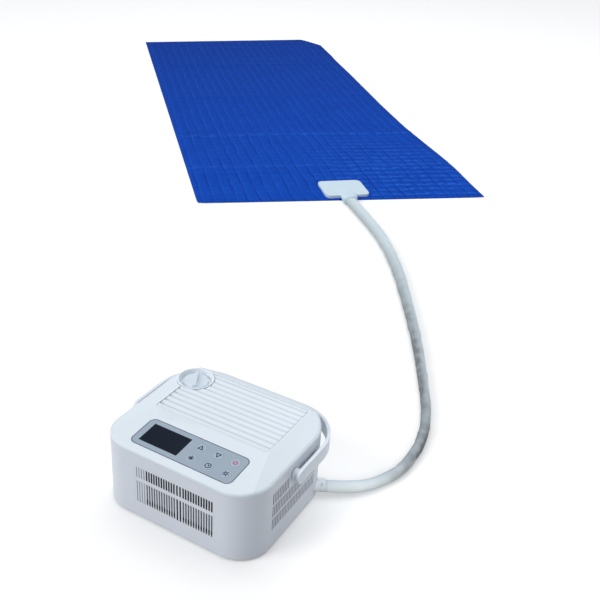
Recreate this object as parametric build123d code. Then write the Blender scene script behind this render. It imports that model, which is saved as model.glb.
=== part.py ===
from build123d import *
import os
from math import atan2, cos, degrees, pi, radians, sin, tan

# Cooling and heating mattress pad: a control unit that pumps tempered water through a sleeved hose
# into a quilted pad. Millimetres. The origin is the middle of the unit's footprint on the floor,
# +X is the unit's right side, +Y its back and +Z up.

# Control unit, outside
unit_width = 270.0
unit_depth = 237.0
front_corner = 50.0
back_corner = 64.0
wall = 2.5
foot_height = 3.0
rim_height = 113.5
edge_height = 118.5
front_edge_rise = 1.5
crown_rise = 8.0
edge_round = 4.0
side_band = 34.0
front_slope_run = 94.5
back_slope_run = 17.5
lip_depth = 3.0
fit = 0.2
running_gap = 0.3
shaft_gap = 0.05

# Base pan, feet and housing screws
pan_thickness = 3.0
pan_upstand = 8.0
foot_radius = 9.0
foot_inset = 34.0
foot_socket = 1.0
post_radius = 5.5
post_counterbore = 3.8
post_floor = 3.0
post_height = 76.0
cover_boss_radius = 4.5
screw_radius = 1.7
screw_hole_gap = 0.1
screw_head_radius = 3.2
screw_head_height = 2.4
screw_length = 22.0
front_post_inset = 22.0
back_post_inset = 30.0
left_back_post_x = -14.0
left_back_post_inset = 12.5

# Front grille: two rows of slots, with a pair of slots set wider apart in the middle
slot_pitch = 4.4
slot_width = 2.4
slots_each_side = 12
middle_pair_pitch = 5.3
front_grille_x = 14.0
blind_slots = 4
blind_depth = 0.9
front_lower_row = 30.0
front_lower_height = 38.5
front_upper_row = 75.5
front_upper_height = 18.0
grille_margin = 3.2
grille_flange = 3.0
grille_flange_thickness = 1.2

# Side grilles: three rows of slots
side_slots = 27
side_slot_pitch = 4.5
side_slot_width = 2.2
side_grille_y = -4.85
side_first_row = 34.5
side_row_height = 19.0
side_row_bar = 3.6
side_rows = 3

# Carry handle
handle_gap = 9.0
handle_thickness = 5.0
handle_height = 23.0
pivot_y = -8.0
pivot_z = 97.5
pivot_stub_radius = 9.0
pivot_bush_radius = 8.0
pivot_bush_depth = 7.0
pin_radius = 3.0
pin_head_radius = 5.5
pin_head_height = 2.0

# Control panel, on the sloping front of the cover
panel_width = 171.4
panel_length = 56.0
panel_corner = 9.0
panel_x = 1.5
panel_y = -75.4
panel_thickness = 1.6
panel_pocket = 2.0
panel_ledge = 4.0
pocket_floor = 1.6
border_width = 1.3
key_radius = 7.2
key_flange = 1.0
key_flange_thickness = 0.8
key_gap = 0.25
key_stem_radius = 2.2
key_travel = 0.6
key_stem_length = 2.0
key_rows = 24.5
key_columns = 3
key_side_inset = 15.9
key_display_gap = 20.4
key_row_shift = 0.2
display_width = 67.0
display_length = 39.7
display_inset = 9.7
display_shift = 0.1
window_thickness = 1.0
switch_size = 6.0
switch_height = 2.6
board_thickness = 1.6
board_boss_radius = 3.0
board_screw_radius = 1.1
board_screw_length = 6.0
board_screw_head = 2.2
board_screw_head_height = 1.6

# Louvre panel, let into the top of the cover
louvre_left = -100.0
louvre_right = 97.0
louvre_front = -21.0
louvre_back = 97.0
first_groove = -12.5
louvre_pitch = 11.44
louvre_grooves = 10
louvre_depth = 2.2
louvre_step = 1.7
louvre_base = 1.2
louvre_corner = 4.0

# Filler: dish, neck, plug and turning cap
filler_x = -93.0
filler_y = 71.5
dish_radius = 29.5
dish_wall = 2.0
dish_floor = 9.0
dish_floor_thickness = 2.5
dish_rise = 0.8
dish_flare = 3.0
neck_bore = 17.0
neck_wall = 2.5
sleeve_depth = 7.0
plug_radius = 15.8
plug_depth = 11.0
plug_flange = 18.6
plug_flange_thickness = 1.2
seal_thickness = 1.0
cap_radius = 20.5
cap_thickness = 2.6
cap_stem_radius = 5.0
cap_stem_length = 8.0
grip_width = 6.0
grip_height = 4.5
grip_angle = 118.0

# Water tank
tank_clearance = 4.5
tank_wall = 2.0
tank_front = 22.0
tank_right = -28.0
tank_height = 88.0
tank_corner = 6.0
lid_thickness = 3.0

# Pump
pump_x = 22.0
pump_y = 60.0
pump_radius = 20.0
pump_wall = 2.0
pump_height = 26.0
pump_cover_thickness = 2.5
impeller_radius = 16.0
impeller_vanes = 6
vane_thickness = 1.6
impeller_height = 12.0
impeller_hub = 5.0
pump_pin_radius = 2.0

# Inner tubes and their nipples
tube_radius = 4.0
tube_bore = 2.6
nipple_length = 8.0
tube_bend = 12.0
suction_height = 18.0
return_height = 70.0
return_y = 92.0
block_port_height = 52.0
delivery_turn_y = -18.0
link_turn = 22.0

# Thermoelectric stage: heat sink, tile and water block, twice
stage_offset = 32.0
sink_width = 54.0
sink_height = 40.0
sink_bottom = 34.0
sink_front_gap = 3.0
fin_length = 28.0
fin_thickness = 1.0
fin_pitch = 3.3
sink_base = 4.0
tile_size = 38.0
tile_thickness = 4.0
block_depth = 14.0
block_width = 44.0
block_port_offset = 13.0
rail_width = 5.0

# Fans behind the side grilles
fan_size = 70.0
fan_depth = 20.0
fan_bottom = 14.0
fan_y = -20.0
fan_bore = 33.0
fan_hub_radius = 13.0
fan_motor_radius = 14.0
fan_motor_thickness = 3.0
fan_spoke_width = 3.0
fan_spokes = 3
fan_blades = 7
fan_blade_tip = 31.0
fan_blade_width = 12.0
fan_blade_pitch = 38.0
fan_blade_thickness = 1.2
fan_rotor_depth = 13.0
fan_pin_radius = 1.5

# Power supply and mains inlet
supply_offset = 0.65
supply_width = 64.0
supply_front = -48.0
supply_length = 62.0
supply_height = 28.0
supply_board = 1.6
supply_standoff = 3.0
capacitor_radius = 8.0
shield_wall = 1.2
inlet_x = 24.0
inlet_z = 34.0
inlet_width = 26.0
inlet_height = 20.0
inlet_depth = 18.0
inlet_flange = 3.0
inlet_flange_thickness = 2.0
socket_width = 20.0
socket_height = 14.0
socket_depth = 14.0
inlet_pin_radius = 1.3
inlet_pin_length = 10.0
inlet_pin_spacing = 8.6

# Hose outlet at the back right corner, and the hose
hose_diameter = 22.0
bend_share = 0.45
outlet_radius = 10.5
outlet_length = 27.0
outlet_bore = 7.5
outlet_catch_width = 3.0
outlet_catch_place = 6.6
outlet_catch_angle = 40.0
outlet_catch_height = 3.6
outlet_catch_depth = 1.2
manifold_length = 14.0
manifold_width = 26.0
manifold_port_spacing = 14.0
hose_route = [
    (144.0, 80.0, 17.5), (167.0, 95.0, 17.5), (192.0, 120.0, 15.0), (208.0, 145.0, 12.2),
    (225.0, 190.0, 11.0), (224.0, 271.0, 11.0), (200.0, 354.0, 11.0), (153.0, 449.0, 11.0),
    (90.0, 570.0, 11.0), (12.0, 704.0, 11.0), (-78.0, 850.0, 11.0), (-179.0, 981.0, 11.0),
    (-278.0, 1088.0, 11.0), (-354.0, 1161.0, 12.0),
]

# Pad and its connector
pad_width = 820.0
pad_length = 2075.0
pad_angle = 42.7
pad_edge = (-382.8, 1182.4)
pad_thickness = 8.0
pad_hem = 14.0
hem_thickness = 3.0
pad_channels = 24
channel_depth = 2.4
connector_width = 127.0
connector_length = 113.0
connector_inset = 6.0
connector_shift = 12.0
connector_corner = 16.0
connector_wall = 2.0
connector_height = 4.5
collar_end_radius = 11.5
collar_width = 48.0
collar_height = 10.5
connector_screw_inset = 12.0
connector_screw_hold = 3.0
connector_post_radius = 3.6

# Worked-out places
half_width = unit_width / 2
half_depth = unit_depth / 2
front_edge_height = edge_height + front_edge_rise
crown_height = edge_height + crown_rise
deck = foot_height + pan_thickness
slope_angle = degrees(atan2(crown_height - front_edge_height, front_slope_run))
slope_start = front_slope_run - half_depth
panel_plane = Plane(
    origin=(panel_x, panel_y, crown_height - (slope_start - panel_y) * tan(radians(slope_angle))),
    x_dir=(1, 0, 0), z_dir=(0, -sin(radians(slope_angle)), cos(radians(slope_angle))))
handle_bottom = pivot_z - handle_height / 2
handle_top = pivot_z + handle_height / 2
wall_inside_x = half_width - wall
grille_back_x = wall_inside_x - grille_flange_thickness
fan_inner_x = grille_back_x - fan_depth
supply_left = (pump_x + tube_radius + fan_inner_x - supply_width) / 2 - supply_offset
grille_back_y = half_depth - wall - grille_flange_thickness
post_top = deck + post_height
display_x = display_inset + (display_width - panel_width) / 2
first_key_x = display_x + display_width / 2 + key_display_gap
key_pitch = (panel_width / 2 - key_side_inset - first_key_x) / (key_columns - 1)
dish_top = crown_height + dish_rise
dish_floor_top = dish_top - dish_floor
neck_top = dish_floor_top - dish_floor_thickness
tank_top = deck + tank_height
lid_top = tank_top + lid_thickness

parts = {}


def block(x0, x1, y0, y1, z0, z1):
    """A box between two corners."""
    return Pos((x0 + x1) / 2, (y0 + y1) / 2, (z0 + z1) / 2) * Box(x1 - x0, y1 - y0, z1 - z0)


def post(x, y, z0, z1, radius):
    """An upright cylinder."""
    return Pos(x, y, (z0 + z1) / 2) * Cylinder(radius, z1 - z0)


def rod_x(x0, x1, y, z, radius):
    """A cylinder along X."""
    return Pos((x0 + x1) / 2, y, z) * Rot(0, 90, 0) * Cylinder(radius, abs(x1 - x0))


def rod_y(x, y0, y1, z, radius):
    """A cylinder along Y."""
    return Pos(x, (y0 + y1) / 2, z) * Rot(90, 0, 0) * Cylinder(radius, abs(y1 - y0))


def rounded(width, length, radius):
    """A rectangle with four equal round corners."""
    return RectangleRounded(width, length, radius)


def outline(inset):
    """The unit's plan, drawn in by inset, with its tighter corners in front."""
    plan = Rectangle(unit_width - 2 * inset, unit_depth - 2 * inset)
    corners = plan.vertices().sort_by(Axis.Y)
    plan = fillet(corners[:2], front_corner - inset)
    far = [v for v in plan.vertices().sort_by(Axis.Y)[-2:]]
    return fillet(far, back_corner - inset)


def prism(plan, z0, z1):
    """A flat plan pulled up from z0 to z1."""
    return Pos(0, 0, z0) * extrude(plan, z1 - z0)


def polygon_solid(plane, points, length):
    """A closed polygon drawn on a plane, pulled evenly to both sides."""
    face = make_face(Polyline(points, close=True))
    return extrude(plane * face, length / 2, both=True)


def mirrored(shape):
    """The same shape on the other side of the unit."""
    return mirror(shape, Plane.YZ)


def roof(inset):
    """The space under the cover's skin, drawn in by inset: flat crown with a slope on each side."""
    top = crown_height - inset
    low = edge_height - inset
    below = rim_height - wall
    flat_x = half_width - side_band
    back = half_depth - back_slope_run
    across = [(-half_width, below), (-half_width, low), (-flat_x, top), (flat_x, top),
              (half_width, low), (half_width, below)]
    along = [(-half_depth, below), (-half_depth, front_edge_height - inset), (slope_start, top),
             (back, top), (half_depth, low), (half_depth, below)]
    body = prism(outline(inset), rim_height, top)
    body = body & polygon_solid(Plane.XZ, across, 2 * unit_depth)
    return body & polygon_solid(Plane.YZ, along, 2 * unit_width)


def post_places():
    """Where the four housing screws stand."""
    front_y = front_post_inset - half_depth
    return [(front_post_inset - half_width, front_y), (half_width - front_post_inset, front_y),
            (half_width - back_post_inset, half_depth - back_post_inset),
            (left_back_post_x, half_depth - left_back_post_inset)]


# Base pan with its posts, rails and saddles
def make_base_pan():
    """The tray under everything: screw posts, rails for sinks and fans, supply standoffs."""
    rim = wall + fit
    pan = prism(outline(rim), foot_height, deck)
    top = deck + pan_upstand
    pan += prism(outline(rim), deck, top) - prism(outline(rim + wall), deck, top)
    for x, y in post_places():
        pan += post(x, y, deck, post_top, post_radius)
    for x in stage_places():
        for side in (-1, 1):
            middle = x + side * (block_width / 2 - rail_width)
            pan += block(middle - rail_width / 2, middle + rail_width / 2,
                         sink_front(), block_back(), deck, sink_bottom)
    for side in (-1, 1):
        low, high = sorted((side * fan_inner_x, side * grille_back_x))
        for y in (fan_y - fan_size / 4, fan_y + fan_size / 4):
            pan += block(low, high, y - rail_width / 2, y + rail_width / 2, deck, fan_bottom)
    for x, y in supply_corners():
        pan += post(x, y, deck, deck + supply_standoff, rail_width / 2)
    for x, y in post_places():
        pan -= post(x, y, foot_height, post_top - post_floor, post_counterbore)
        pan -= post(x, y, foot_height, post_top, screw_radius + screw_hole_gap)
    for x, y in foot_places():
        pan -= post(x, y, foot_height, foot_height + foot_socket, foot_radius + fit / 2)
    return pan - along_outlet(-outlet_length, 0, outlet_radius + fit)


def foot_places():
    """Where the four feet sit."""
    x = half_width - foot_inset
    y = half_depth - foot_inset
    return [(-x, -y), (x, -y), (-x, y), (x, y)]


def stage_places():
    """X of the two thermoelectric stages, either side of the front grille's middle."""
    return [front_grille_x - stage_offset, front_grille_x + stage_offset]


def sink_front():
    """Y of the fin tips, just behind the front grille."""
    return sink_front_gap - grille_back_y


def sink_back():
    """Y of the heat sink's back face."""
    return sink_front() + fin_length + sink_base


def block_front():
    """Y of the water block's front face."""
    return sink_back() + tile_thickness


def block_back():
    """Y of the water block's back face."""
    return block_front() + block_depth


def supply_corners():
    """Standoffs under the corners of the power board."""
    inset = 2 * rail_width
    xs = (supply_left + inset, supply_left + supply_width - inset)
    ys = (supply_front + inset, supply_front + supply_length - inset)
    return [(x, y) for x in xs for y in ys]


def group(solids):
    """Several separate solids kept together as one node."""
    return Compound(children=list(solids))


def make_feet():
    """Four round rubber feet let into the pan."""
    return group(post(x, y, 0, foot_height + foot_socket, foot_radius) for x, y in foot_places())


def make_housing_screws():
    """Four screws up the posts into the cover's bosses."""
    seat = post_top - post_floor
    return group(post(x, y, seat - screw_head_height, seat, screw_head_radius)
                 + post(x, y, seat, seat + screw_length, screw_radius) for x, y in post_places())


# Body shell and its grilles
def front_window():
    """Left, right, bottom and top of the front grille."""
    reach = slot_offsets()[-1] + slot_width / 2
    left = front_grille_x - reach - slot_pitch * blind_slots - grille_margin
    return (left, front_grille_x + reach + grille_margin,
            front_lower_row - grille_margin, front_upper_row + front_upper_height + grille_margin)


def side_window():
    """Front, back, bottom and top of a side grille."""
    reach = side_slot_pitch * (side_slots - 1) / 2 + side_slot_width / 2 + grille_margin
    top = side_first_row + side_rows * side_row_height + (side_rows - 1) * side_row_bar
    return (side_grille_y - reach, side_grille_y + reach, side_first_row - grille_margin, top + grille_margin)


def outlet_frame():
    """Plane at the hose's start, with its X along the way the hose leaves."""
    start = Vector(*hose_route[0])
    way = Vector(hose_route[1][0] - start.X, hose_route[1][1] - start.Y, 0)
    return Plane(origin=start, x_dir=way, z_dir=(0, 0, 1))


def along_outlet(t0, t1, radius, side=0.0):
    """A cylinder along the outlet's axis, from t0 to t1 before the hose's start."""
    return outlet_frame() * rod_x(t0, t1, side, 0, radius)


def make_body_shell():
    """The upright wall round the unit, open at the top and bottom, with windows for its grilles."""
    shell = prism(outline(0), foot_height, rim_height) - prism(outline(wall), foot_height, rim_height)
    x0, x1, z0, z1 = front_window()
    shell -= block(x0, x1, -half_depth - 1, wall + 1 - half_depth, z0, z1)
    y0, y1, z0, z1 = side_window()
    shell -= block(wall_inside_x - 1, half_width + 1, y0, y1, z0, z1)
    shell -= block(-half_width - 1, 1 - wall_inside_x, y0, y1, z0, z1)
    shell -= block(inlet_x - inlet_width / 2 - fit, inlet_x + inlet_width / 2 + fit, half_depth - wall - 1,
                   half_depth + 1, inlet_z - inlet_height / 2 - fit, inlet_z + inlet_height / 2 + fit)
    return shell - along_outlet(-outlet_length, 0, outlet_radius + fit)


def slot_offsets():
    """X of the open slots of the front grille, counted from its middle."""
    next_slot = 3 * middle_pair_pitch / 2
    outer = [next_slot + slot_pitch * k for k in range(slots_each_side)]
    half = [middle_pair_pitch / 2] + outer
    return [-v for v in reversed(half)] + half


def make_front_grille():
    """The slotted plate in the front wall, flush outside and flanged inside."""
    x0, x1, z0, z1 = front_window()
    front = -half_depth
    inside = front + wall
    plate = block(x0, x1, front, inside, z0, z1)
    plate += block(x0 - grille_flange, x1 + grille_flange, inside, inside + grille_flange_thickness,
                   z0 - grille_flange, z1 + grille_flange)
    rows = [(front_lower_row, front_lower_height), (front_upper_row, front_upper_height)]
    cuts = []
    for low, height in rows:
        for x in slot_offsets():
            middle = front_grille_x + x
            cuts.append(block(middle - slot_width / 2, middle + slot_width / 2, front - 1,
                              inside + grille_flange_thickness + 1, low, low + height))
        for k in range(1, blind_slots + 1):
            middle = front_grille_x + slot_offsets()[0] - slot_pitch * k
            cuts.append(block(middle - slot_width / 2, middle + slot_width / 2, front - 1,
                              front + blind_depth, low, low + height))
    return plate - cuts


def make_side_grille():
    """The right-hand slotted plate, with the handle's bush where no slots are cut."""
    y0, y1, z0, z1 = side_window()
    plate = block(grille_back_x, half_width, y0, y1, z0, z1) & prism(outline(0), 0, crown_height)
    flange = block(grille_back_x, wall_inside_x, y0 - grille_flange, y1 + grille_flange,
                   z0 - grille_flange, z1 + grille_flange)
    plate += flange & prism(outline(wall), 0, crown_height)
    plate += rod_x(grille_back_x - pivot_bush_depth, grille_back_x, pivot_y, pivot_z, pivot_bush_radius)
    first = side_grille_y - side_slot_pitch * (side_slots - 1) / 2
    cuts = []
    for row in range(side_rows):
        low = side_first_row + row * (side_row_height + side_row_bar)
        for k in range(side_slots):
            y = first + side_slot_pitch * k
            near = abs(y - pivot_y) < pivot_stub_radius + side_slot_width
            if near and abs(low + side_row_height / 2 - pivot_z) < pivot_stub_radius + side_row_height / 2:
                continue
            cuts.append(block(grille_back_x - 1, half_width + 1, y - side_slot_width / 2,
                              y + side_slot_width / 2, low, low + side_row_height))
    bush_end = grille_back_x - pivot_bush_depth
    cuts.append(rod_x(bush_end, half_width + 1, pivot_y, pivot_z, pin_radius + shaft_gap))
    return plate - cuts


# Top cover
def dish_cutter(grow):
    """The round hole for the filler dish."""
    return post(filler_x, filler_y, 0, 2 * crown_height, dish_radius + grow)


def louvre_plan(grow):
    """The louvre panel's plan, without the bite that the filler dish takes."""
    width = louvre_right - louvre_left + 2 * grow
    length = louvre_back - louvre_front + 2 * grow
    middle = Pos((louvre_left + louvre_right) / 2, (louvre_front + louvre_back) / 2)
    return middle * rounded(width, length, louvre_corner + grow)


def panel_slab(grow, top, bottom):
    """A rounded slab under the control panel, between two depths below the cover's slope."""
    plan = rounded(panel_width + 2 * grow, panel_length + 2 * grow, panel_corner + grow)
    return panel_plane * (Pos(0, 0, -bottom) * extrude(plan, bottom - top))


def make_top_cover():
    """The domed lid of the unit, with pockets for the panel and the louvre."""
    outer = roof(0)
    outer = fillet(outer.edges().filter_by(is_rim_edge), edge_round)
    hollow = roof(wall)
    skin = roof(wall / 4)
    cover = outer - hollow
    lip = prism(outline(wall + fit), rim_height - lip_depth, rim_height)
    lip += prism(outline(wall / 2), rim_height, rim_height + wall / 2)
    cover += lip - prism(outline(2 * wall + fit), rim_height - lip_depth, rim_height + wall)
    cover += panel_slab(border_width + wall, 0, panel_pocket + pocket_floor) & skin
    low = crown_height - louvre_depth - pocket_floor
    cover += prism(louvre_plan(wall), low, crown_height) & skin
    for x, y in post_places():
        cover += post(x, y, rim_height, crown_height, cover_boss_radius) & skin
        cover += post(x, y, post_top, rim_height, cover_boss_radius)
        cover -= post(x, y, post_top, post_top + screw_length, screw_radius + screw_hole_gap)
    for u, v in board_corners():
        cover += panel_plane * post(u, v, -board_face(), -panel_pocket, board_boss_radius)
        cover -= panel_plane * post(u, v, -board_face(), board_screw_length - board_face(),
                                    board_screw_radius + screw_hole_gap)
    cover -= panel_slab(border_width + fit / 2, -wall, panel_pocket)
    cover -= panel_slab(border_width - panel_ledge, -wall, panel_pocket + pocket_floor + wall)
    cover -= prism(louvre_plan(fit / 2), crown_height - louvre_depth, crown_height + 1)
    return cover - dish_cutter(fit)


def is_rim_edge(edge):
    """True for the edges where the slopes meet the upright wall."""
    middle = edge @ 0.5
    inside = outline(wall / 4).faces()[0].is_inside(Vector(middle.X, middle.Y, 0))
    return middle.Z > edge_height - fit and not inside


# Control panel and what is behind it
def board_face():
    """Depth of the control board's top face below the cover's slope."""
    moving = key_flange_thickness + key_stem_length + key_travel
    return panel_thickness + moving + running_gap + switch_height


def board_corners():
    """Places of the board's bosses on the panel's plane."""
    u = panel_width / 2 + border_width - board_boss_radius / 4
    v = panel_length / 2 - panel_ledge - board_boss_radius
    return [(su * u, sv * v) for su in (-1, 1) for sv in (-1, 1)]


def key_places():
    """Names and places of the six keys on the panel's plane."""
    names = [["key_up", "key_down", "key_power"], ["key_mode", "key_timer", "key_light"]]
    places = {}
    for row, line in enumerate(names):
        for column, name in enumerate(line):
            u = first_key_x + key_pitch * column
            v = key_row_shift + key_rows * (0.5 - row)
            places[name] = (u, v)
    return places


def make_control_panel():
    """The grey plate with six round holes and a window."""
    plan = rounded(panel_width, panel_length, panel_corner)
    plate = Pos(0, 0, -panel_thickness) * extrude(plan, panel_thickness)
    for u, v in key_places().values():
        plate -= post(u, v, -panel_thickness - 1, 1, key_radius + key_gap)
    plate -= Pos(display_x, display_shift, -panel_thickness / 2) * Box(
        display_width, display_length, 2 * panel_thickness)
    return panel_plane * plate


def make_panel_border():
    """The thin dark frame round the control panel."""
    width = panel_width + 2 * border_width
    length = panel_length + 2 * border_width
    outer = rounded(width, length, panel_corner + border_width)
    inner = rounded(panel_width, panel_length, panel_corner)
    opening = rounded(panel_width - panel_ledge, panel_length - panel_ledge, panel_corner)
    ring = extrude(outer, panel_pocket) - extrude(inner, panel_pocket)
    under = panel_pocket - panel_thickness
    seat = extrude(outer, under) - extrude(opening, under)
    return panel_plane * (Pos(0, 0, -panel_pocket) * (ring + seat))


def make_key(u, v):
    """One round key: cap, flange under the panel and stem over its switch."""
    flange_top = -panel_thickness - key_flange_thickness
    key = post(u, v, -panel_thickness, 0, key_radius)
    key += post(u, v, flange_top, -panel_thickness, key_radius + key_flange)
    key += post(u, v, flange_top - key_stem_length, flange_top, key_stem_radius)
    return panel_plane * key


def make_key_switches():
    """Six small switches on the control board, one under each key."""
    solids = []
    for u, v in key_places().values():
        body = Pos(u, v, switch_height / 2 - board_face()) * Box(switch_size, switch_size, switch_height)
        solids.append(panel_plane * body)
    return group(solids)


def make_display_window():
    """The dark window, flush with the panel."""
    plate = Pos(display_x, display_shift, -window_thickness / 2) * Box(
        display_width - fit, display_length - fit, window_thickness)
    return panel_plane * plate


def make_display_module():
    """The display under the window, reaching down to its board."""
    top = -window_thickness
    depth = board_face() - window_thickness
    body = Pos(display_x, display_shift, top - depth / 2) * Box(
        display_width - 2 * fit, display_length - 2 * fit, depth)
    return panel_plane * body


def make_control_board():
    """The circuit board that carries the switches and the display."""
    reach_u, reach_v = board_corners()[-1]
    width = 2 * (reach_u + board_boss_radius)
    length = 2 * (reach_v + board_boss_radius)
    low = -board_face() - board_thickness
    plate = Pos(0, 0, low + board_thickness / 2) * Box(width, length, board_thickness)
    for u, v in board_corners():
        plate -= post(u, v, low, -board_face(), board_screw_radius + screw_hole_gap)
    return panel_plane * plate


def make_board_screws():
    """Four small screws that hold the board to the cover's bosses."""
    solids = []
    low = -board_face() - board_thickness
    for u, v in board_corners():
        screw = post(u, v, low - board_screw_head_height, low, board_screw_head)
        screw += post(u, v, low, low + board_screw_length, board_screw_radius)
        solids.append(panel_plane * screw)
    return group(solids)


# Louvre panel
def make_louvre_panel():
    """Overlapping slats, each low at its front and high at its back."""
    bottom = crown_height - louvre_depth
    grooves = [first_groove + louvre_pitch * k for k in range(louvre_grooves)]
    points = [(louvre_front, bottom), (louvre_front, crown_height)]
    for y in grooves:
        points.append((y - louvre_base, crown_height))
        points.append((y, crown_height - louvre_step / 4))
        points.append((y, crown_height - louvre_step))
    points.append((louvre_back, crown_height))
    points.append((louvre_back, bottom))
    slats = polygon_solid(Plane.YZ, points, 2 * unit_width)
    plan = prism(louvre_plan(0), bottom - 1, crown_height + 1)
    return (slats & plan) - dish_cutter(2 * fit)


# Filler
def make_filler_dish():
    """The round dish in the cover that frames the cap and sits on the tank's neck."""
    dish = post(filler_x, filler_y, neck_top, dish_top, dish_radius)
    dish = fillet(dish.edges().group_by(Axis.Z)[-1], dish_wall / 4)
    rim = dish_radius - dish_wall
    bowl = Pos(filler_x, filler_y, dish_floor_top + dish_floor / 2) * Cone(
        rim - dish_flare, rim, dish_floor)
    dish -= bowl
    dish -= post(filler_x, filler_y, neck_top, dish_floor_top, neck_bore)
    outside = neck_bore + neck_wall
    sleeve = post(filler_x, filler_y, neck_top - sleeve_depth, neck_top, outside + fit + dish_wall)
    sleeve -= post(filler_x, filler_y, neck_top - sleeve_depth, neck_top, outside + fit)
    return dish + sleeve


def make_cap_plug():
    """The stopper that closes the neck, with a blind hole for the cap's stem."""
    flange_low = dish_floor_top + seal_thickness
    flange_top = flange_low + plug_flange_thickness
    plug = post(filler_x, filler_y, dish_floor_top - plug_depth, flange_low, plug_radius)
    plug += post(filler_x, filler_y, flange_low, flange_top, plug_flange)
    floor = flange_top + running_gap - cap_stem_length - running_gap
    return plug - post(filler_x, filler_y, floor, flange_top, cap_stem_radius + shaft_gap)


def make_cap_seal():
    """The flat ring between the plug's flange and the dish."""
    ring = post(filler_x, filler_y, dish_floor_top, dish_floor_top + seal_thickness, plug_flange)
    return ring - post(filler_x, filler_y, dish_floor_top, dish_floor_top + seal_thickness, plug_radius)


def make_cap_knob():
    """The clear round cap with its finger bar and the stem that turns in the plug."""
    low = dish_floor_top + seal_thickness + plug_flange_thickness + running_gap
    knob = post(0, 0, low, low + cap_thickness, cap_radius)
    knob = fillet(knob.edges().group_by(Axis.Z)[-1], cap_thickness / 3)
    bar = Pos(0, 0, low + (cap_thickness + grip_height) / 2) * Box(
        2 * cap_radius - dish_wall, grip_width, cap_thickness + grip_height)
    bar = bar & post(0, 0, low, low + cap_thickness + grip_height, cap_radius - dish_wall / 2)
    bar = fillet(bar.edges().group_by(Axis.Z)[-1], grip_width / 4)
    knob += bar
    knob += post(0, 0, low - cap_stem_length, low, cap_stem_radius)
    return Pos(filler_x, filler_y, 0) * Rot(0, 0, grip_angle) * knob


# Water tank
def tank_plan(inset):
    """The tank's plan, with one large corner that follows the shell."""
    left = tank_clearance - wall_inside_x + inset
    back = half_depth - wall - tank_clearance - inset
    front = tank_front + inset
    right = tank_right - inset
    plan = Pos((left + right) / 2, (front + back) / 2) * Rectangle(right - left, back - front)
    large = back_corner - wall - tank_clearance - inset
    corner = plan.vertices().sort_by(lambda v: v.X - v.Y)[0]
    plan = fillet(corner, large)
    others = [v for v in plan.vertices() if v.X > right - fit or v.Y < front + fit]
    return fillet(others, tank_corner - inset)


def make_water_tank():
    """The open tank with its two nipples on the right side."""
    tank = prism(tank_plan(0), deck, tank_top)
    ports = [(pump_y, suction_height), (return_y, return_height)]
    for y, z in ports:
        tank += rod_x(tank_right - tank_wall, tank_right + nipple_length, y, z, tube_radius)
    tank -= prism(tank_plan(tank_wall), deck + tank_wall, tank_top)
    for y, z in ports:
        tank -= rod_x(tank_right - 2 * tank_wall, tank_right + nipple_length, y, z, tube_bore)
    return tank


def make_tank_lid():
    """The tank's lid with the filler neck on it."""
    lid = prism(tank_plan(0), tank_top, lid_top)
    lid += post(filler_x, filler_y, lid_top, neck_top, neck_bore + neck_wall)
    return lid - post(filler_x, filler_y, tank_top, neck_top, neck_bore)


# Pump
def make_pump_housing():
    """The pump's cup with its centre pin and two nipples."""
    top = deck + pump_height
    cup = post(pump_x, pump_y, deck, top, pump_radius)
    left_end = pump_x - pump_radius - nipple_length
    cup += rod_x(left_end, pump_x, pump_y, suction_height, tube_radius)
    front_end = pump_y - pump_radius - nipple_length
    cup += rod_y(pump_x, front_end, pump_y, suction_height, tube_radius)
    cup -= post(pump_x, pump_y, deck + pump_wall, top, pump_radius - pump_wall)
    cup -= rod_x(left_end, pump_x, pump_y, suction_height, tube_bore)
    cup -= rod_y(pump_x, front_end, pump_y, suction_height, tube_bore)
    pin_top = deck + pump_wall + 2 * running_gap + impeller_height
    return cup + post(pump_x, pump_y, deck, pin_top, pump_pin_radius)


def make_pump_impeller():
    """Six straight vanes on a hub and a back disc."""
    low = deck + pump_wall + running_gap
    wheel = post(pump_x, pump_y, low, low + impeller_height, impeller_hub)
    wheel += post(pump_x, pump_y, low, low + pump_wall, impeller_radius)
    for k in range(impeller_vanes):
        vane = Pos((impeller_hub + impeller_radius) / 2, 0, low + impeller_height / 2) * Box(
            impeller_radius - impeller_hub + 1, vane_thickness, impeller_height)
        wheel += Pos(pump_x, pump_y, 0) * Rot(0, 0, 360 / impeller_vanes * k) * vane
    return wheel - post(pump_x, pump_y, low, low + impeller_height, pump_pin_radius + shaft_gap)


def make_pump_cover():
    """The disc that closes the pump."""
    top = deck + pump_height
    cover = post(pump_x, pump_y, top, top + pump_cover_thickness, pump_radius)
    cover += post(pump_x, pump_y, top - pump_cover_thickness, top, pump_radius - pump_wall - fit)
    return cover


# Thermoelectric stages
def make_heat_sink(x):
    """A base plate with upright fins that face the front grille."""
    left = x - sink_width / 2
    front = sink_front()
    top = sink_bottom + sink_height
    sink = block(left, left + sink_width, front + fin_length, sink_back(), sink_bottom, top)
    count = int((sink_width - fin_thickness) / fin_pitch) + 1
    start = x - fin_pitch * (count - 1) / 2
    fins = []
    for k in range(count):
        middle = start + fin_pitch * k
        fins.append(block(middle - fin_thickness / 2, middle + fin_thickness / 2, front,
                          front + fin_length, sink_bottom, top))
    return sink + fins


def make_tile(x):
    """The thermoelectric tile between heat sink and water block."""
    middle = sink_bottom + sink_height / 2
    return block(x - tile_size / 2, x + tile_size / 2, sink_back(), block_front(),
                 middle - tile_size / 2, middle + tile_size / 2)


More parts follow.
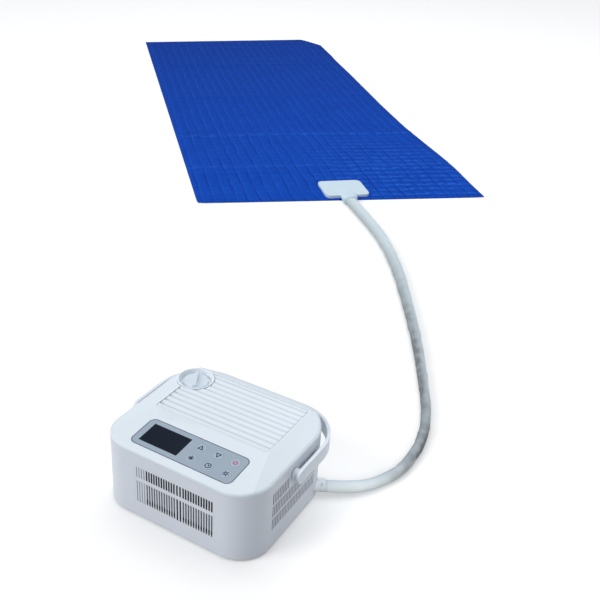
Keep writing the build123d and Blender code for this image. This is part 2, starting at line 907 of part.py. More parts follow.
def make_water_block(x):
    """The water block with its two nipples at the back."""
    body = block(x - block_width / 2, x + block_width / 2, block_front(), block_back(),
                 sink_bottom, sink_bottom + sink_height)
    for side in (-1, 1):
        port = x + side * block_port_offset
        body += rod_y(port, block_back(), block_back() + nipple_length, block_port_height, tube_radius)
    for side in (-1, 1):
        port = x + side * block_port_offset
        body -= rod_y(port, block_back() - tube_radius, block_back() + nipple_length,
                      block_port_height, tube_bore)
    return body


# Fans
def fan_middle_z():
    """Height of the fans' axis."""
    return fan_bottom + fan_size / 2


def make_fan_frame():
    """The right fan's square frame, with spokes and a motor plate on the inner side."""
    inner = grille_back_x - fan_depth
    z = fan_middle_z()
    side = fan_size / 2
    frame = block(inner, grille_back_x, fan_y - side, fan_y + side, fan_bottom, fan_bottom + fan_size)
    frame -= rod_x(inner, grille_back_x, fan_y, z, fan_bore)
    frame += rod_x(inner, inner + fan_motor_thickness, fan_y, z, fan_motor_radius)
    for k in range(fan_spokes):
        spoke = Pos(inner + fan_motor_thickness / 2, 0, (fan_bore + fan_hub_radius) / 2) * Box(
            fan_motor_thickness, fan_spoke_width, fan_bore - fan_hub_radius + 2)
        frame += Pos(0, fan_y, z) * Rot(360 / fan_spokes * k, 0, 0) * spoke
    pin_end = inner + fan_motor_thickness + 2 * running_gap + fan_rotor_depth
    return frame + rod_x(inner, pin_end, fan_y, z, fan_pin_radius)


def make_fan_rotor():
    """The right fan's hub and blades, with a bore for the pin."""
    low = grille_back_x - fan_depth + fan_motor_thickness + running_gap
    high = low + fan_rotor_depth
    rotor = rod_x(low, high, 0, 0, fan_hub_radius)
    root = fan_hub_radius - fan_blade_thickness
    plain = Box(fan_blade_width, fan_blade_thickness, fan_blade_tip - root)
    blade = Pos((low + high) / 2, 0, (root + fan_blade_tip) / 2) * Rot(0, 0, fan_blade_pitch) * plain
    for k in range(fan_blades):
        rotor += Rot(360 / fan_blades * k, 0, 0) * blade
    rotor -= rod_x(low, high, 0, 0, fan_pin_radius + shaft_gap)
    return Pos(0, fan_y, fan_middle_z()) * rotor


# Power supply and mains inlet
def make_power_board():
    """The power supply's board with its larger components as one casting."""
    low = deck + supply_standoff
    right = supply_left + supply_width
    back = supply_front + supply_length
    board = block(supply_left, right, supply_front, back, low, low + supply_board)
    top = low + supply_board
    tall = supply_height - supply_board - shield_wall - running_gap
    margin = 2 * rail_width
    board += block(supply_left + margin, supply_left + supply_width / 2, supply_front + margin,
                   supply_front + supply_length / 2, top, top + tall)
    for y in (supply_front + 2 * capacitor_radius, back - 2 * capacitor_radius):
        board += post(right - 2 * capacitor_radius, y, top, top + tall, capacitor_radius)
    return board


def make_power_shield():
    """The folded metal cover over the power board, open towards the back."""
    low = deck
    right = supply_left + supply_width
    back = supply_front + supply_length
    high = deck + supply_standoff + supply_height
    gap = running_gap
    shell = block(supply_left - gap - shield_wall, right + gap + shield_wall,
                  supply_front - gap - shield_wall, back, low, high)
    inside = high - shield_wall
    return shell - block(supply_left - gap, right + gap, supply_front - gap, back + 1, low, inside)


def make_power_inlet():
    """The mains inlet in the back wall, with two pins in its socket."""
    back = half_depth
    body = block(inlet_x - inlet_width / 2, inlet_x + inlet_width / 2, back - inlet_depth, back,
                 inlet_z - inlet_height / 2, inlet_z + inlet_height / 2)
    width = inlet_width / 2 + inlet_flange
    height = inlet_height / 2 + inlet_flange
    outside = back + inlet_flange_thickness
    body += block(inlet_x - width, inlet_x + width, back, outside, inlet_z - height, inlet_z + height)
    body -= block(inlet_x - socket_width / 2, inlet_x + socket_width / 2, outside - socket_depth, outside,
                  inlet_z - socket_height / 2, inlet_z + socket_height / 2)
    for side in (-1, 1):
        body += rod_y(inlet_x + side * inlet_pin_spacing / 2, outside - socket_depth,
                      outside - socket_depth + inlet_pin_length, inlet_z, inlet_pin_radius)
    return body


# Carry handle
def make_carry_handle():
    """The folded-back bail: two arms, rounded corners and a bar behind the unit."""
    band = prism(outline(-handle_gap - handle_thickness), handle_bottom, handle_top)
    band -= prism(outline(-handle_gap), handle_bottom, handle_top)
    reach = half_width + handle_gap + handle_thickness
    band -= block(-reach, reach, -2 * half_depth, pivot_y, handle_bottom, handle_top)
    ends = None
    for side in (-1, 1):
        low, high = sorted((side * (half_width + handle_gap), side * reach))
        end = rod_x(low, high, pivot_y, pivot_z, handle_height / 2)
        low, high = sorted((side * (half_width + running_gap), side * reach))
        stub = rod_x(low, high, pivot_y, pivot_z, pivot_stub_radius)
        ends = end + stub if ends is None else ends + end + stub
    band += ends
    for side in (-1, 1):
        low, high = sorted((side * (half_width - 1), side * (reach + 1)))
        band -= rod_x(low, high, pivot_y, pivot_z, pin_radius + shaft_gap)
        low, high = sorted((side * (reach - pin_head_height - fit), side * (reach + 1)))
        band -= rod_x(low, high, pivot_y, pivot_z, pin_head_radius + fit)
    return band


def make_handle_pins():
    """The two shouldered pins that hold the handle's arms."""
    reach = half_width + handle_gap + handle_thickness
    solids = []
    for side in (-1, 1):
        low, high = sorted((side * (grille_back_x - pivot_bush_depth), side * (reach - pin_head_height)))
        pin = rod_x(low, high, pivot_y, pivot_z, pin_radius)
        low, high = sorted((side * (reach - pin_head_height), side * reach))
        solids.append(pin + rod_x(low, high, pivot_y, pivot_z, pin_head_radius))
    return group(solids)


# Hose outlet, manifold and inner tubes
def make_hose_outlet():
    """The collar that the hose plugs into, with two catch slots near its outer end."""
    collar = rod_x(-outlet_length, 0, 0, 0, outlet_radius)
    collar -= rod_x(-outlet_length, 0, 0, 0, outlet_bore)
    for angle in (-outlet_catch_angle, outlet_catch_angle):
        catch = Rot(angle, 0, 0) * Pos(-outlet_catch_place, -outlet_radius, 0) * Box(
            outlet_catch_width, 2 * outlet_catch_depth, outlet_catch_height)
        collar -= catch
    return outlet_frame() * collar


def manifold_back():
    """Where the manifold's inner face lies, before the hose's start."""
    return -outlet_length - manifold_length


def make_hose_manifold():
    """The block behind the outlet that joins both inner tubes to the hose."""
    height = 2 * (hose_route[0][2] - deck)
    body = Pos(manifold_back() + manifold_length / 2, 0, 0) * Box(manifold_length, manifold_width, height)
    for side in (-1, 1):
        offset = side * manifold_port_spacing / 2
        body += rod_x(manifold_back() - nipple_length, manifold_back(), offset, 0, tube_radius)
        body -= rod_x(manifold_back() - nipple_length, -outlet_length, offset, 0, tube_bore)
    return outlet_frame() * body


def manifold_port(side, extra):
    """A point on a manifold port's axis, extra before its end."""
    frame = outlet_frame()
    local = Vector(manifold_back() - nipple_length - extra, side * manifold_port_spacing / 2, 0)
    return frame.from_local_coords(local)


def make_tube(points):
    """A water tube along straight runs joined by arcs."""
    if len(points) == 2:
        path = Line(points[0], points[1])
    else:
        path = FilletPolyline(*points, radius=tube_bend)
    start = Plane(origin=path @ 0, z_dir=path % 0)
    ring = Circle(tube_radius) - Circle(tube_bore)
    return sweep(start * ring, path=path)


def tube_routes():
    """Names and points of the five inner tubes."""
    left, right = stage_places()
    rear = block_back() + nipple_length
    turn = delivery_turn_y
    pump_left = pump_x - pump_radius - nipple_length
    pump_front = pump_y - pump_radius - nipple_length
    send = manifold_port(-1, 0)
    send_turn = manifold_port(-1, 2 * tube_bend)
    back = manifold_port(1, 0)
    back_turn = manifold_port(1, 2 * tube_bend)
    in_port = left - block_port_offset
    link_a = left + block_port_offset
    link_b = right - block_port_offset
    out_port = right + block_port_offset
    rear_link = rear + link_turn
    over = supply_front + supply_length + tube_bend
    return_x = supply_left + supply_width / 2
    return {
        "tube_tank_to_pump": [(tank_right + nipple_length, pump_y, suction_height),
                              (pump_left, pump_y, suction_height)],
        "tube_pump_to_block": [(pump_x, pump_front, suction_height), (pump_x, turn, suction_height),
                               (in_port, turn, block_port_height), (in_port, rear, block_port_height)],
        "tube_block_to_block": [(link_a, rear, block_port_height), (link_a, rear_link, block_port_height),
                                (link_b, rear_link, block_port_height), (link_b, rear, block_port_height)],
        "tube_block_to_hose": [(out_port, rear, block_port_height), (out_port, over, block_port_height),
                               tuple(send_turn), tuple(send)],
        "tube_hose_to_tank": [tuple(back), tuple(back_turn), (return_x, return_y, return_height),
                              (tank_right + nipple_length, return_y, return_height)],
    }


def route_radii(points):
    """Arc radii for a free hose: as large as the two runs beside each point allow."""
    radii = []
    for k in range(1, len(points) - 1):
        before = Vector(*points[k]) - Vector(*points[k - 1])
        after = Vector(*points[k + 1]) - Vector(*points[k])
        half_turn = radians(before.get_angle(after)) / 2
        radii.append(bend_share * min(before.length, after.length) / tan(half_turn))
    return radii


def make_hose():
    """The sleeved hose as a plain round tube along its route."""
    radii = route_radii(hose_route)
    print("hose arc radii", [round(r) for r in radii])
    path = FilletPolyline(*hose_route, radius=radii)
    start = Plane(origin=path @ 0, z_dir=path % 0)
    hose = sweep(start * Circle(hose_diameter / 2), path=path)
    ideal = pi * hose_diameter ** 2 / 4 * path.length
    print("hose length", round(path.length, 1), "volume ratio", round(hose.volume / ideal, 4))
    return hose


# Pad and connector, drawn with the pad's near edge on X and its length along Y
def pad_place():
    """Places the pad on the floor, turned as it lies."""
    return Pos(pad_edge[0], pad_edge[1], 0) * Rot(0, 0, pad_angle)


def pad_section(low, high, depth):
    """Cross-section of the channelled field between two heights, as one closed face."""
    field = pad_width / 2 - pad_hem
    pitch = 2 * field / pad_channels
    start = (-field, high - depth)
    edges = [Line((-field, low), start)]
    for k in range(pad_channels):
        x0 = -field + pitch * k
        edges.append(ThreePointArc((x0, high - depth), (x0 + pitch / 2, high), (x0 + pitch, high - depth)))
    edges.append(Line((field, high - depth), (field, low)))
    edges.append(Line((field, low), (-field, low)))
    return make_face(Curve() + edges)


def make_pad_layer(low, high, depth):
    """One layer of the pad: a channelled field inside a flat hem."""
    face = Plane.XZ * pad_section(low, high, depth)
    field = extrude(face, -(pad_length - 2 * pad_hem))
    field = Pos(0, pad_hem, 0) * field
    hem = block(-pad_width / 2, pad_width / 2, 0, pad_length, low, low + hem_thickness / 2)
    return field + hem


def connector_plan(grow):
    """The connector's plan on the pad."""
    middle = Pos(connector_shift, connector_inset + connector_length / 2)
    return middle * rounded(connector_width + 2 * grow, connector_length + 2 * grow, connector_corner + grow)


def make_pad_top():
    """The pad's upper layer, with room under the connector."""
    upper = make_pad_layer(hem_thickness / 2, pad_thickness, channel_depth)
    upper -= prism(connector_plan(running_gap), 0, 2 * pad_thickness)
    near = connector_inset + connector_length / 2
    side = collar_width / 2 + running_gap
    upper -= block(connector_shift - side, connector_shift + side, -1, near, 0, 2 * pad_thickness)
    return pad_place() * upper


def make_pad_bottom():
    """The pad's lower layer, flat on the floor."""
    return pad_place() * block(-pad_width / 2, pad_width / 2, 0, pad_length, 0, hem_thickness / 2)


def connector_shape(inset, low, high):
    """A rounded block on the connector's plan."""
    return prism(connector_plan(-inset), low, high)


def make_connector_base():
    """The lower half of the pad connector, under the welded nipples."""
    low = hem_thickness / 2
    middle = connector_split()
    base = connector_shape(0, low, middle)
    base -= connector_shape(connector_wall, low + connector_wall, middle)
    for x, y in connector_screw_places():
        base += post(x, y, low, middle, connector_post_radius)
        base -= post(x, y, low, middle, board_screw_radius + screw_hole_gap)
        base -= post(x, y, low, low + fit + board_screw_head_height, board_screw_head + screw_hole_gap)
    return pad_place() * base


def connector_split():
    """Height of the joint between the connector's halves."""
    return hem_thickness / 2 + (pad_thickness + connector_height) / 2


def connector_screw_places():
    """The connector's four screws."""
    x = connector_width / 2 - connector_screw_inset
    y0 = connector_inset + connector_screw_inset
    y1 = connector_inset + connector_length - connector_screw_inset
    return [(connector_shift + side * x, y) for side in (-1, 1) for y in (y0, y1)]


def make_connector_cover():
    """The upper half of the pad connector."""
    low = connector_split()
    top = pad_thickness + connector_height
    cover = connector_shape(0, low, top)
    cover = fillet(cover.edges().group_by(Axis.Z)[-1], connector_wall / 2)
    cover -= connector_shape(connector_wall, low, top - connector_wall)
    for x, y in connector_screw_places():
        cover += post(x, y, low, top - connector_wall / 2, connector_post_radius)
        cover -= post(x, y, low, low + connector_screw_hold, board_screw_radius + screw_hole_gap)
    return pad_place() * cover


def make_connector_screws():
    """Four small screws that hold the connector's halves together."""
    solids = []
    low = hem_thickness / 2 + fit
    tip = connector_split() + connector_screw_hold - fit
    for x, y in connector_screw_places():
        screw = post(x, y, low, low + board_screw_head_height, board_screw_head)
        screw += post(x, y, low, tip, board_screw_radius)
        solids.append(pad_place() * screw)
    return group(solids)


def make_hose_collar():
    """The tapered neck from the connector down to the hose."""
    end = Vector(*hose_route[-1])
    hose_end = Plane(origin=end, z_dir=end - Vector(*hose_route[-2]))
    height = (hem_thickness / 2 + pad_thickness + connector_height) / 2
    near = pad_place() * Pos(connector_shift, connector_inset, height)
    along = (cos(radians(pad_angle)), sin(radians(pad_angle)), 0)
    inward = (-sin(radians(pad_angle)), cos(radians(pad_angle)), 0)
    mouth = Plane(origin=near.position, x_dir=along, z_dir=inward)
    wide = mouth * rounded(collar_width, collar_height, collar_height / 2 - fit)
    narrow = hose_end * Circle(collar_end_radius)
    return loft([narrow.faces()[0], wide.faces()[0]])


def save_all():
    """Builds every piece and writes each to its own file."""
    left, right = stage_places()
    parts["base_pan"] = make_base_pan()
    parts["rubber_feet"] = make_feet()
    parts["housing_screws"] = make_housing_screws()
    parts["body_shell"] = make_body_shell()
    parts["front_grille"] = make_front_grille()
    parts["right_grille"] = make_side_grille()
    parts["left_grille"] = mirrored(parts["right_grille"])
    parts["top_cover"] = make_top_cover()
    parts["louvre_panel"] = make_louvre_panel()
    parts["panel_border"] = make_panel_border()
    parts["control_panel"] = make_control_panel()
    parts["display_window"] = make_display_window()
    parts["display_module"] = make_display_module()
    for name, (u, v) in key_places().items():
        parts[name] = make_key(u, v)
    parts["key_switches"] = make_key_switches()
    parts["control_board"] = make_control_board()
    parts["board_screws"] = make_board_screws()
    parts["filler_dish"] = make_filler_dish()
    parts["cap_plug"] = make_cap_plug()
    parts["cap_seal"] = make_cap_seal()
    parts["cap_knob"] = make_cap_knob()
    parts["water_tank"] = make_water_tank()
    parts["tank_lid"] = make_tank_lid()
    parts["pump_housing"] = make_pump_housing()
    parts["pump_impeller"] = make_pump_impeller()
    parts["pump_cover"] = make_pump_cover()
    for side, x in (("left", left), ("right", right)):
        parts["heat_sink_" + side] = make_heat_sink(x)
        parts["cooling_tile_" + side] = make_tile(x)
        parts["water_block_" + side] = make_water_block(x)
    parts["fan_frame_right"] = make_fan_frame()
    parts["fan_frame_left"] = mirrored(parts["fan_frame_right"])
    parts["fan_rotor_right"] = make_fan_rotor()
    parts["fan_rotor_left"] = mirrored(parts["fan_rotor_right"])
    parts["power_board"] = make_power_board()
    parts["power_shield"] = make_power_shield()
    parts["power_inlet"] = make_power_inlet()
    parts["carry_handle"] = make_carry_handle()
    parts["handle_pins"] = make_handle_pins()
    parts["hose_outlet"] = make_hose_outlet()
    parts["hose_manifold"] = make_hose_manifold()
    for name, points in tube_routes().items():
        parts[name] = make_tube(points)
    parts["hose"] = make_hose()
    parts["hose_collar"] = make_hose_collar()
    parts["connector_base"] = make_connector_base()
    parts["connector_cover"] = make_connector_cover()
    parts["connector_screws"] = make_connector_screws()
    parts["pad_top"] = make_pad_top()
    parts["pad_bottom"] = make_pad_bottom()
    os.makedirs("parts", exist_ok=True)
    for name, shape in parts.items():
        export_step(shape, f"parts/{name}.step")
    print(len(parts), "nodes")


save_all()
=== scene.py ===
"""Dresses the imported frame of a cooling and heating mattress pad, and lights it for its picture."""
import logging
import math
from collections.abc import Sequence
from dataclasses import dataclass
from enum import Enum

import bpy
import numpy as np
from mathutils import Matrix, Vector


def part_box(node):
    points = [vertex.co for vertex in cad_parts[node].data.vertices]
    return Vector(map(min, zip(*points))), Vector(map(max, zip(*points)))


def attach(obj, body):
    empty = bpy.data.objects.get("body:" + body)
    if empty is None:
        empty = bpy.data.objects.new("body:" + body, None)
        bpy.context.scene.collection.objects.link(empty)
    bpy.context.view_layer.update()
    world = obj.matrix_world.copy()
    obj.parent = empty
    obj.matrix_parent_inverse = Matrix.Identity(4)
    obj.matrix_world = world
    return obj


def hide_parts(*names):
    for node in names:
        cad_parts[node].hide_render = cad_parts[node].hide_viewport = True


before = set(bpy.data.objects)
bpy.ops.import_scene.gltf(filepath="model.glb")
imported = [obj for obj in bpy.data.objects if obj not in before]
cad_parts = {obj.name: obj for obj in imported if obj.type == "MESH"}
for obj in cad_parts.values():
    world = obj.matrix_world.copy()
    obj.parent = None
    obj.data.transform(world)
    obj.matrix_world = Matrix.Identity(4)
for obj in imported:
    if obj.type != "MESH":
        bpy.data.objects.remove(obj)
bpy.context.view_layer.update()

LOG = logging.getLogger("mattress_pad")
MM = 0.001
Point = tuple[float, float, float]
Colour = tuple[float, float, float]
Pair = tuple[float, float]
Socket = bpy.types.NodeSocket

# Lengths are in metres and the scales of noise in grains a metre. Angles are in degrees, apart from the key lamp's
# spread, the weave's slant and the pad's turn, which are in radians. The edge of a pattern is a pair: where its fade
# starts and where it ends.

# How many rays the painted shade in grooves and the softened edges take.
CREVICE_RAYS = 8
EDGE_RAYS = 6
# A pitch so wide that only one line of its set lies on the pad.
LONE_LINE = 8.0
# Where the mixing node keeps its two colours and their blend.
MIX_FIRST, MIX_SECOND, MIX_RESULT = 6, 7, 2


def shaded(colour: Colour, share: float) -> Colour:
    """Darkens a colour to a share of its brightness."""
    return tuple(channel * share for channel in colour)


def smoothed(values: np.ndarray, reach: int) -> np.ndarray:
    """Smooths a row of numbers.

    Args:
        values: The numbers.
        reach: How many neighbours on either side count.

    Returns:
        A smoothed row of the same length.
    """
    window = np.hanning(2 * reach + 1)
    return np.convolve(np.pad(values, reach, mode="edge"), window / window.sum(), mode="valid")


class Bench:
    """The workbench on which one material's nodes are wired."""

    def __init__(self, name: str, colour: Colour, roughness: float) -> None:
        """Starts a material with one shader.

        Args:
            name: The material's name.
            colour: Base colour, linear red, green and blue.
            roughness: Surface roughness from 0 to 1.
        """
        self.material = bpy.data.materials.new(name)
        self.material.use_nodes = True
        self.tree = self.material.node_tree
        self.shader = self.tree.nodes["Principled BSDF"]
        self.set("Base Color", (*colour, 1.0))
        self.set("Roughness", roughness)
        self.material.diffuse_color = (*colour, 1.0)
        self.place = self.add("ShaderNodeTexCoord").outputs["Object"]

    def set(self, socket: str, value: float | Sequence[float]) -> None:
        """Sets a plain value on the shader's own socket."""
        self.shader.inputs[socket].default_value = value

    def add(self, kind: str, **values: float | Sequence[float]) -> bpy.types.Node:
        """Adds a node and sets its sockets.

        Args:
            kind: The node's type name.
            values: Socket names, with underscores for spaces, and their values.

        Returns:
            The new node.
        """
        node = self.tree.nodes.new(kind)
        for name, value in values.items():
            node.inputs[name.replace("_", " ")].default_value = value
        return node

    def join(self, source: Socket, target: Socket) -> None:
        """Links one socket to another."""
        self.tree.links.new(source, target)

    def stretched(self, scale: Point, source: Socket | None = None) -> Socket:
        """Scales texture space.

        Args:
            scale: Factor along each axis.
            source: The coordinates to scale, or the object's own.

        Returns:
            The scaled coordinates.
        """
        node = self.add("ShaderNodeMapping", Scale=scale)
        self.join(source or self.place, node.inputs["Vector"])
        return node.outputs["Vector"]

    def noise(self, scale: float, detail: float = 3.0,
              source: Socket | None = None) -> Socket:
        """Adds a noise texture.

        Args:
            scale: Grains per metre.
            detail: Octaves of finer noise.
            source: Where the noise is read, or the object's own place.

        Returns:
            The noise value.
        """
        node = self.add("ShaderNodeTexNoise", Scale=scale, Detail=detail)
        self.join(source or self.place, node.inputs["Vector"])
        return node.outputs["Fac"]

    def spread(self, value: Socket, low: float, high: float,
               start: float = 0.3, end: float = 0.7) -> Socket:
        """Maps a value from start and end to low and high.

        Args:
            value: The value to map.
            low: Result at start.
            high: Result at end.
            start: Input that gives low.
            end: Input that gives high.

        Returns:
            The mapped value.
        """
        node = self.add("ShaderNodeMapRange")
        names = {"From Min": start, "From Max": end, "To Min": low, "To Max": high}
        for name, number in names.items():
            node.inputs[name].default_value = number
        self.join(value, node.inputs["Value"])
        return node.outputs["Result"]

    def sum(self, operation: str, first: Socket,
            second: Socket | float) -> Socket:
        """Does one sum.

        Args:
            operation: The math node's operation, such as MULTIPLY.
            first: The first value.
            second: The second value, a socket or a number.

        Returns:
            The result.
        """
        node = self.add("ShaderNodeMath")
        node.operation = operation
        self.join(first, node.inputs[0])
        if isinstance(second, (int, float)):
            node.inputs[1].default_value = second
        else:
            self.join(second, node.inputs[1])
        return node.outputs["Value"]

    def blend(self, share: Socket, first: Colour | Socket,
              second: Colour | Socket) -> Socket:
        """Blends two colours.

        Args:
            share: How much of the second colour shows.
            first: Colour or socket at share 0.
            second: Colour or socket at share 1.

        Returns:
            The blended colour.
        """
        node = self.tree.nodes.new("ShaderNodeMix")
        node.data_type = "RGBA"
        self.join(share, node.inputs["Factor"])
        for socket, colour in ((node.inputs[MIX_FIRST], first), (node.inputs[MIX_SECOND], second)):
            if isinstance(colour, tuple):
                socket.default_value = (*colour, 1.0)
            else:
                self.join(colour, socket)
        return node.outputs[MIX_RESULT]

    def times(self, first: Socket, *others: Socket | float) -> Socket:
        """Multiplies values.

        Args:
            first: The first value.
            others: The values that it is multiplied by, sockets or numbers.

        Returns:
            Their product.
        """
        for other in others:
            first = self.sum("MULTIPLY", first, other)
        return first

    def off(self, along: Socket, middle: float) -> Socket:
        """Measures how far a coordinate is from a place, to either side."""
        return self.sum("ABSOLUTE", self.sum("SUBTRACT", along, middle), 0.0)

    def paint(self, colour: Socket) -> None:
        """Links a colour to the shader."""
        self.join(colour, self.shader.inputs["Base Color"])

    def roughen(self, pattern: Socket, low: float, high: float) -> None:
        """Lets the roughness follow a pattern.

        Args:
            pattern: A value from 0 to 1.
            low: Roughness where the pattern is low.
            high: Roughness where it is high.
        """
        self.join(self.spread(pattern, low, high), self.shader.inputs["Roughness"])

    def painted_crevice_shade(self, colour: Socket, dark: Colour | Socket, reach: float,
                 most: float = 0.85, closed: float = 0.25, open_: float = 0.92) -> Socket:
        """Paints shade into a colour in grooves and joints, where the surface is hemmed in.

        Args:
            colour: The colour so far.
            dark: The colour of the painted shade deep in a groove.
            reach: How near the walls of a groove are, in metres.
            most: The dark colour's share in the deepest grooves.
            closed: Openness at which the dark colour's share is greatest.
            open_: Openness at which nothing is darkened.

        Returns:
            The colour with its painted shade.
        """
        hollow = self.add("ShaderNodeAmbientOcclusion", Distance=reach)
        hollow.samples = CREVICE_RAYS
        share = self.spread(hollow.outputs["AO"], most, 0.0, closed, open_)
        return self.blend(share, colour, dark)

    def axes(self, source: Socket | None = None) -> bpy.types.NodeOutputs:
        """Splits a place into its three numbers.

        Args:
            source: The coordinates to split, or the object's own.

        Returns:
            The sockets X, Y and Z.
        """
        split = self.add("ShaderNodeSeparateXYZ")
        self.join(source or self.place, split.inputs["Vector"])
        return split.outputs

    def lines(self, along: Socket, pitch: float, first: float, reach: float,
              most: float) -> Socket:
        """Marks soft lines at one pitch.

        Args:
            along: The coordinate that the lines cross.
            pitch: The distance between lines.
            first: Where one line lies.
            reach: How far a line's softness reaches to either side.
            most: The value in the middle of a line.

        Returns:
            A value from 0 between the lines to most on them.
        """
        near = self.sum("PINGPONG", self.sum("SUBTRACT", along, first), pitch / 2.0)
        return self.spread(near, most, 0.0, 0.0, reach)

    def relief(self, height: Socket, depth: float, edge: float = 0.0) -> None:
        """Adds a bump, and softens edges under it.

        Args:
            height: The height pattern, from 0 to 1.
            depth: Real height of the pattern in metres.
            edge: Radius of the softened edges in metres, or 0 for none.
        """
        bump = self.add("ShaderNodeBump", Strength=1.0, Distance=depth)
        self.join(height, bump.inputs["Height"])
        if edge:
            soft = self.add("ShaderNodeBevel", Radius=edge)
            soft.samples = EDGE_RAYS
            self.join(soft.outputs["Normal"], bump.inputs["Normal"])
        self.join(bump.outputs["Normal"], self.shader.inputs["Normal"])


@dataclass(frozen=True)
class Plastic:
    """A moulded plastic with a fine grain."""

    name: str
    colour: Colour
    roughness: float = 0.42
    grain: float = 2600.0
    grain_depth: float = 0.00002
    mottle: float = 0.03
    edge: float = 0.0006
    gloss: float = 0.5
    # Reach and tint of the shade painted into grooves and joints.
    crevice_shade: float = 0.0
    crevice_shade_tint: Colour = (0.30, 0.33, 0.36)
    clouds: float = 14.0
    wear: float = 90.0
    wear_depth: float = 0.05

    def make(self) -> bpy.types.Material:
        """Builds the material.

        Returns:
            The finished material.
        """
        bench = Bench(self.name, self.colour, self.roughness)
        bench.set("Specular IOR Level", self.gloss)
        cloudy = bench.spread(bench.noise(self.clouds, 2.0), 0.0, 1.0)
        colour = bench.blend(cloudy, shaded(self.colour, 1.0 - self.mottle), self.colour)
        # Painted shade in grooves and joints.
        if self.crevice_shade:
            shade = tuple(channel * share for channel, share in zip(self.colour, self.crevice_shade_tint))
            colour = bench.painted_crevice_shade(colour, shade, self.crevice_shade)
        bench.paint(self._worked(bench, colour))
        bench.roughen(bench.noise(self.wear, 4.0), self.roughness - self.wear_depth, self.roughness + self.wear_depth)
        bench.relief(bench.noise(self.grain, 2.0), self.grain_depth, self.edge)
        return bench.material

    def _worked(self, bench: Bench, colour: Socket) -> Socket:
        """Adds nothing to a plain moulding; a shaped one adds its own shade here.

        Args:
            bench: The material's bench.
            colour: The colour so far.

        Returns:
            The finished colour.
        """
        return colour


@dataclass(frozen=True)
class LouvrePlastic(Plastic):
    """A moulding with even steps across it, each with soft painted shade at its foot."""

    first: float = -0.0116
    pitch: float = 0.01144
    reach: float = 0.0034
    shade: Colour = (0.40, 0.45, 0.50)
    depth: float = 0.62
    patches: float = 60.0
    least: float = 0.75

    def _worked(self, bench: Bench, colour: Socket) -> Socket:
        """Paints shade at the foot of every step.

        Args:
            bench: The material's bench.
            colour: The colour so far.

        Returns:
            The finished colour.
        """
        foot = bench.lines(bench.axes()["Y"], self.pitch, self.first, self.reach, self.depth)
        uneven = bench.spread(bench.noise(self.patches, 2.0), self.least, 1.0)
        return bench.blend(bench.times(foot, uneven), colour, self.shade)


@dataclass(frozen=True)
class SlottedPlastic(Plastic):
    """A moulding with deep slots, with shade painted inside them."""

    hollow: float = 0.006
    # The colour of the shade painted deep in the slots.
    dark: Colour = (0.05, 0.058, 0.06)
    closed: float = 0.12
    opened: float = 0.62

    def _worked(self, bench: Bench, colour: Socket) -> Socket:
        """Paints shade into the slots.

        Args:
            bench: The material's bench.
            colour: The colour so far.

        Returns:
            The finished colour.
        """
        return bench.painted_crevice_shade(colour, self.dark, self.hollow, 1.0, self.closed, self.opened)


@dataclass(frozen=True)
class FrontGrillePlastic(SlottedPlastic):
    """The front grille's plastic, with painted shade in its slots, black along the upper slots, the middle pair and
    the lower slots' ends, and grey in the rest of the lower slots.

    The slots stand in rows on either side of a closer pair. Distances along a row are from the pair's middle, and
    heights are from the floor.
    """

    middle: float = 0.014
    pair: float = 0.0053
    pair_fade: float = 0.0002
    first: float = 0.00795
    pitch: float = 0.0044
    last: float = 0.0580
    lip: float = 0.0015
    fade: float = 0.0004
    centre: float = 0.06175
    reach: float = 0.03175
    end_fade: float = 0.0003
    bar: float = 0.0720
    bar_edge: Pair = (0.0033, 0.0036)
    upper: float = 0.0730
    foot: float = 0.0362
    foot_edge: Pair = (0.0022, 0.0042)
    strength: float = 5.0
    most: float = 0.80

    def _worked(self, bench: Bench, colour: Socket) -> Socket:
        """Paints shade into the slots, and black shade along the edges of the black ones.

        Args:
            bench: The material's bench.
            colour: The colour so far.

        Returns:
            The finished colour.
        """
        place = bench.axes()
        off = bench.off(place["X"], self.middle)
        in_pair = bench.spread(off, 1.0, 0.0, self.pair - self.pair_fade, self.pair)
        beyond = bench.spread(off, 0.0, 1.0, self.pair - self.pair_fade, self.pair)
        rows = bench.times(bench.lines(off, self.pitch, self.first, self.lip, 1.0), beyond)
        pair = bench.times(bench.lines(off, 2.0 * self.pair, self.pair / 2.0, self.lip, 1.0), in_pair)
        upper = bench.spread(place["Z"], 0.0, 1.0, self.upper - self.fade, self.upper)
        feet = bench.spread(bench.off(place["Z"], self.foot), 1.0, 0.0, *self.foot_edge)
        # Where the painted shade beside the slots is black.
        black = bench.sum("MAXIMUM", bench.sum("MAXIMUM", upper, feet), in_pair)
        along = bench.spread(off, 1.0, 0.0, self.last - self.fade, self.last)
        past_bar = bench.spread(bench.off(place["Z"], self.bar), 0.0, 1.0, *self.bar_edge)
        up = bench.spread(bench.off(place["Z"], self.centre), 1.0, 0.0, self.reach, self.reach + self.end_fade)
        shaded_lips = bench.times(bench.sum("MAXIMUM", pair, rows), bench.times(along, past_bar, up))
        share = bench.sum("MINIMUM", bench.times(shaded_lips, black, self.strength), self.most)
        return bench.blend(share, super()._worked(bench, colour), self.dark)


@dataclass(frozen=True)
class ClearPlastic:
    """A clear polished plastic."""

    name: str
    colour: Colour
    clearness: float = 0.75
    roughness: float = 0.08
    bending: float = 1.46
    swirls: float = 120.0
    swirl_depth: float = 0.00004
    wear_depth: float = 0.08
    edge: float = 0.0005

    def make(self) -> bpy.types.Material:
        """Builds the material.

        Returns:
            The finished material.
        """
        bench = Bench(self.name, self.colour, self.roughness)
        bench.set("IOR", self.bending)
        bench.set("Transmission Weight", self.clearness)
        swirl = bench.noise(self.swirls, 2.0)
        bench.roughen(swirl, self.roughness, self.roughness + self.wear_depth)
        bench.relief(swirl, self.swirl_depth, self.edge)
        return bench.material


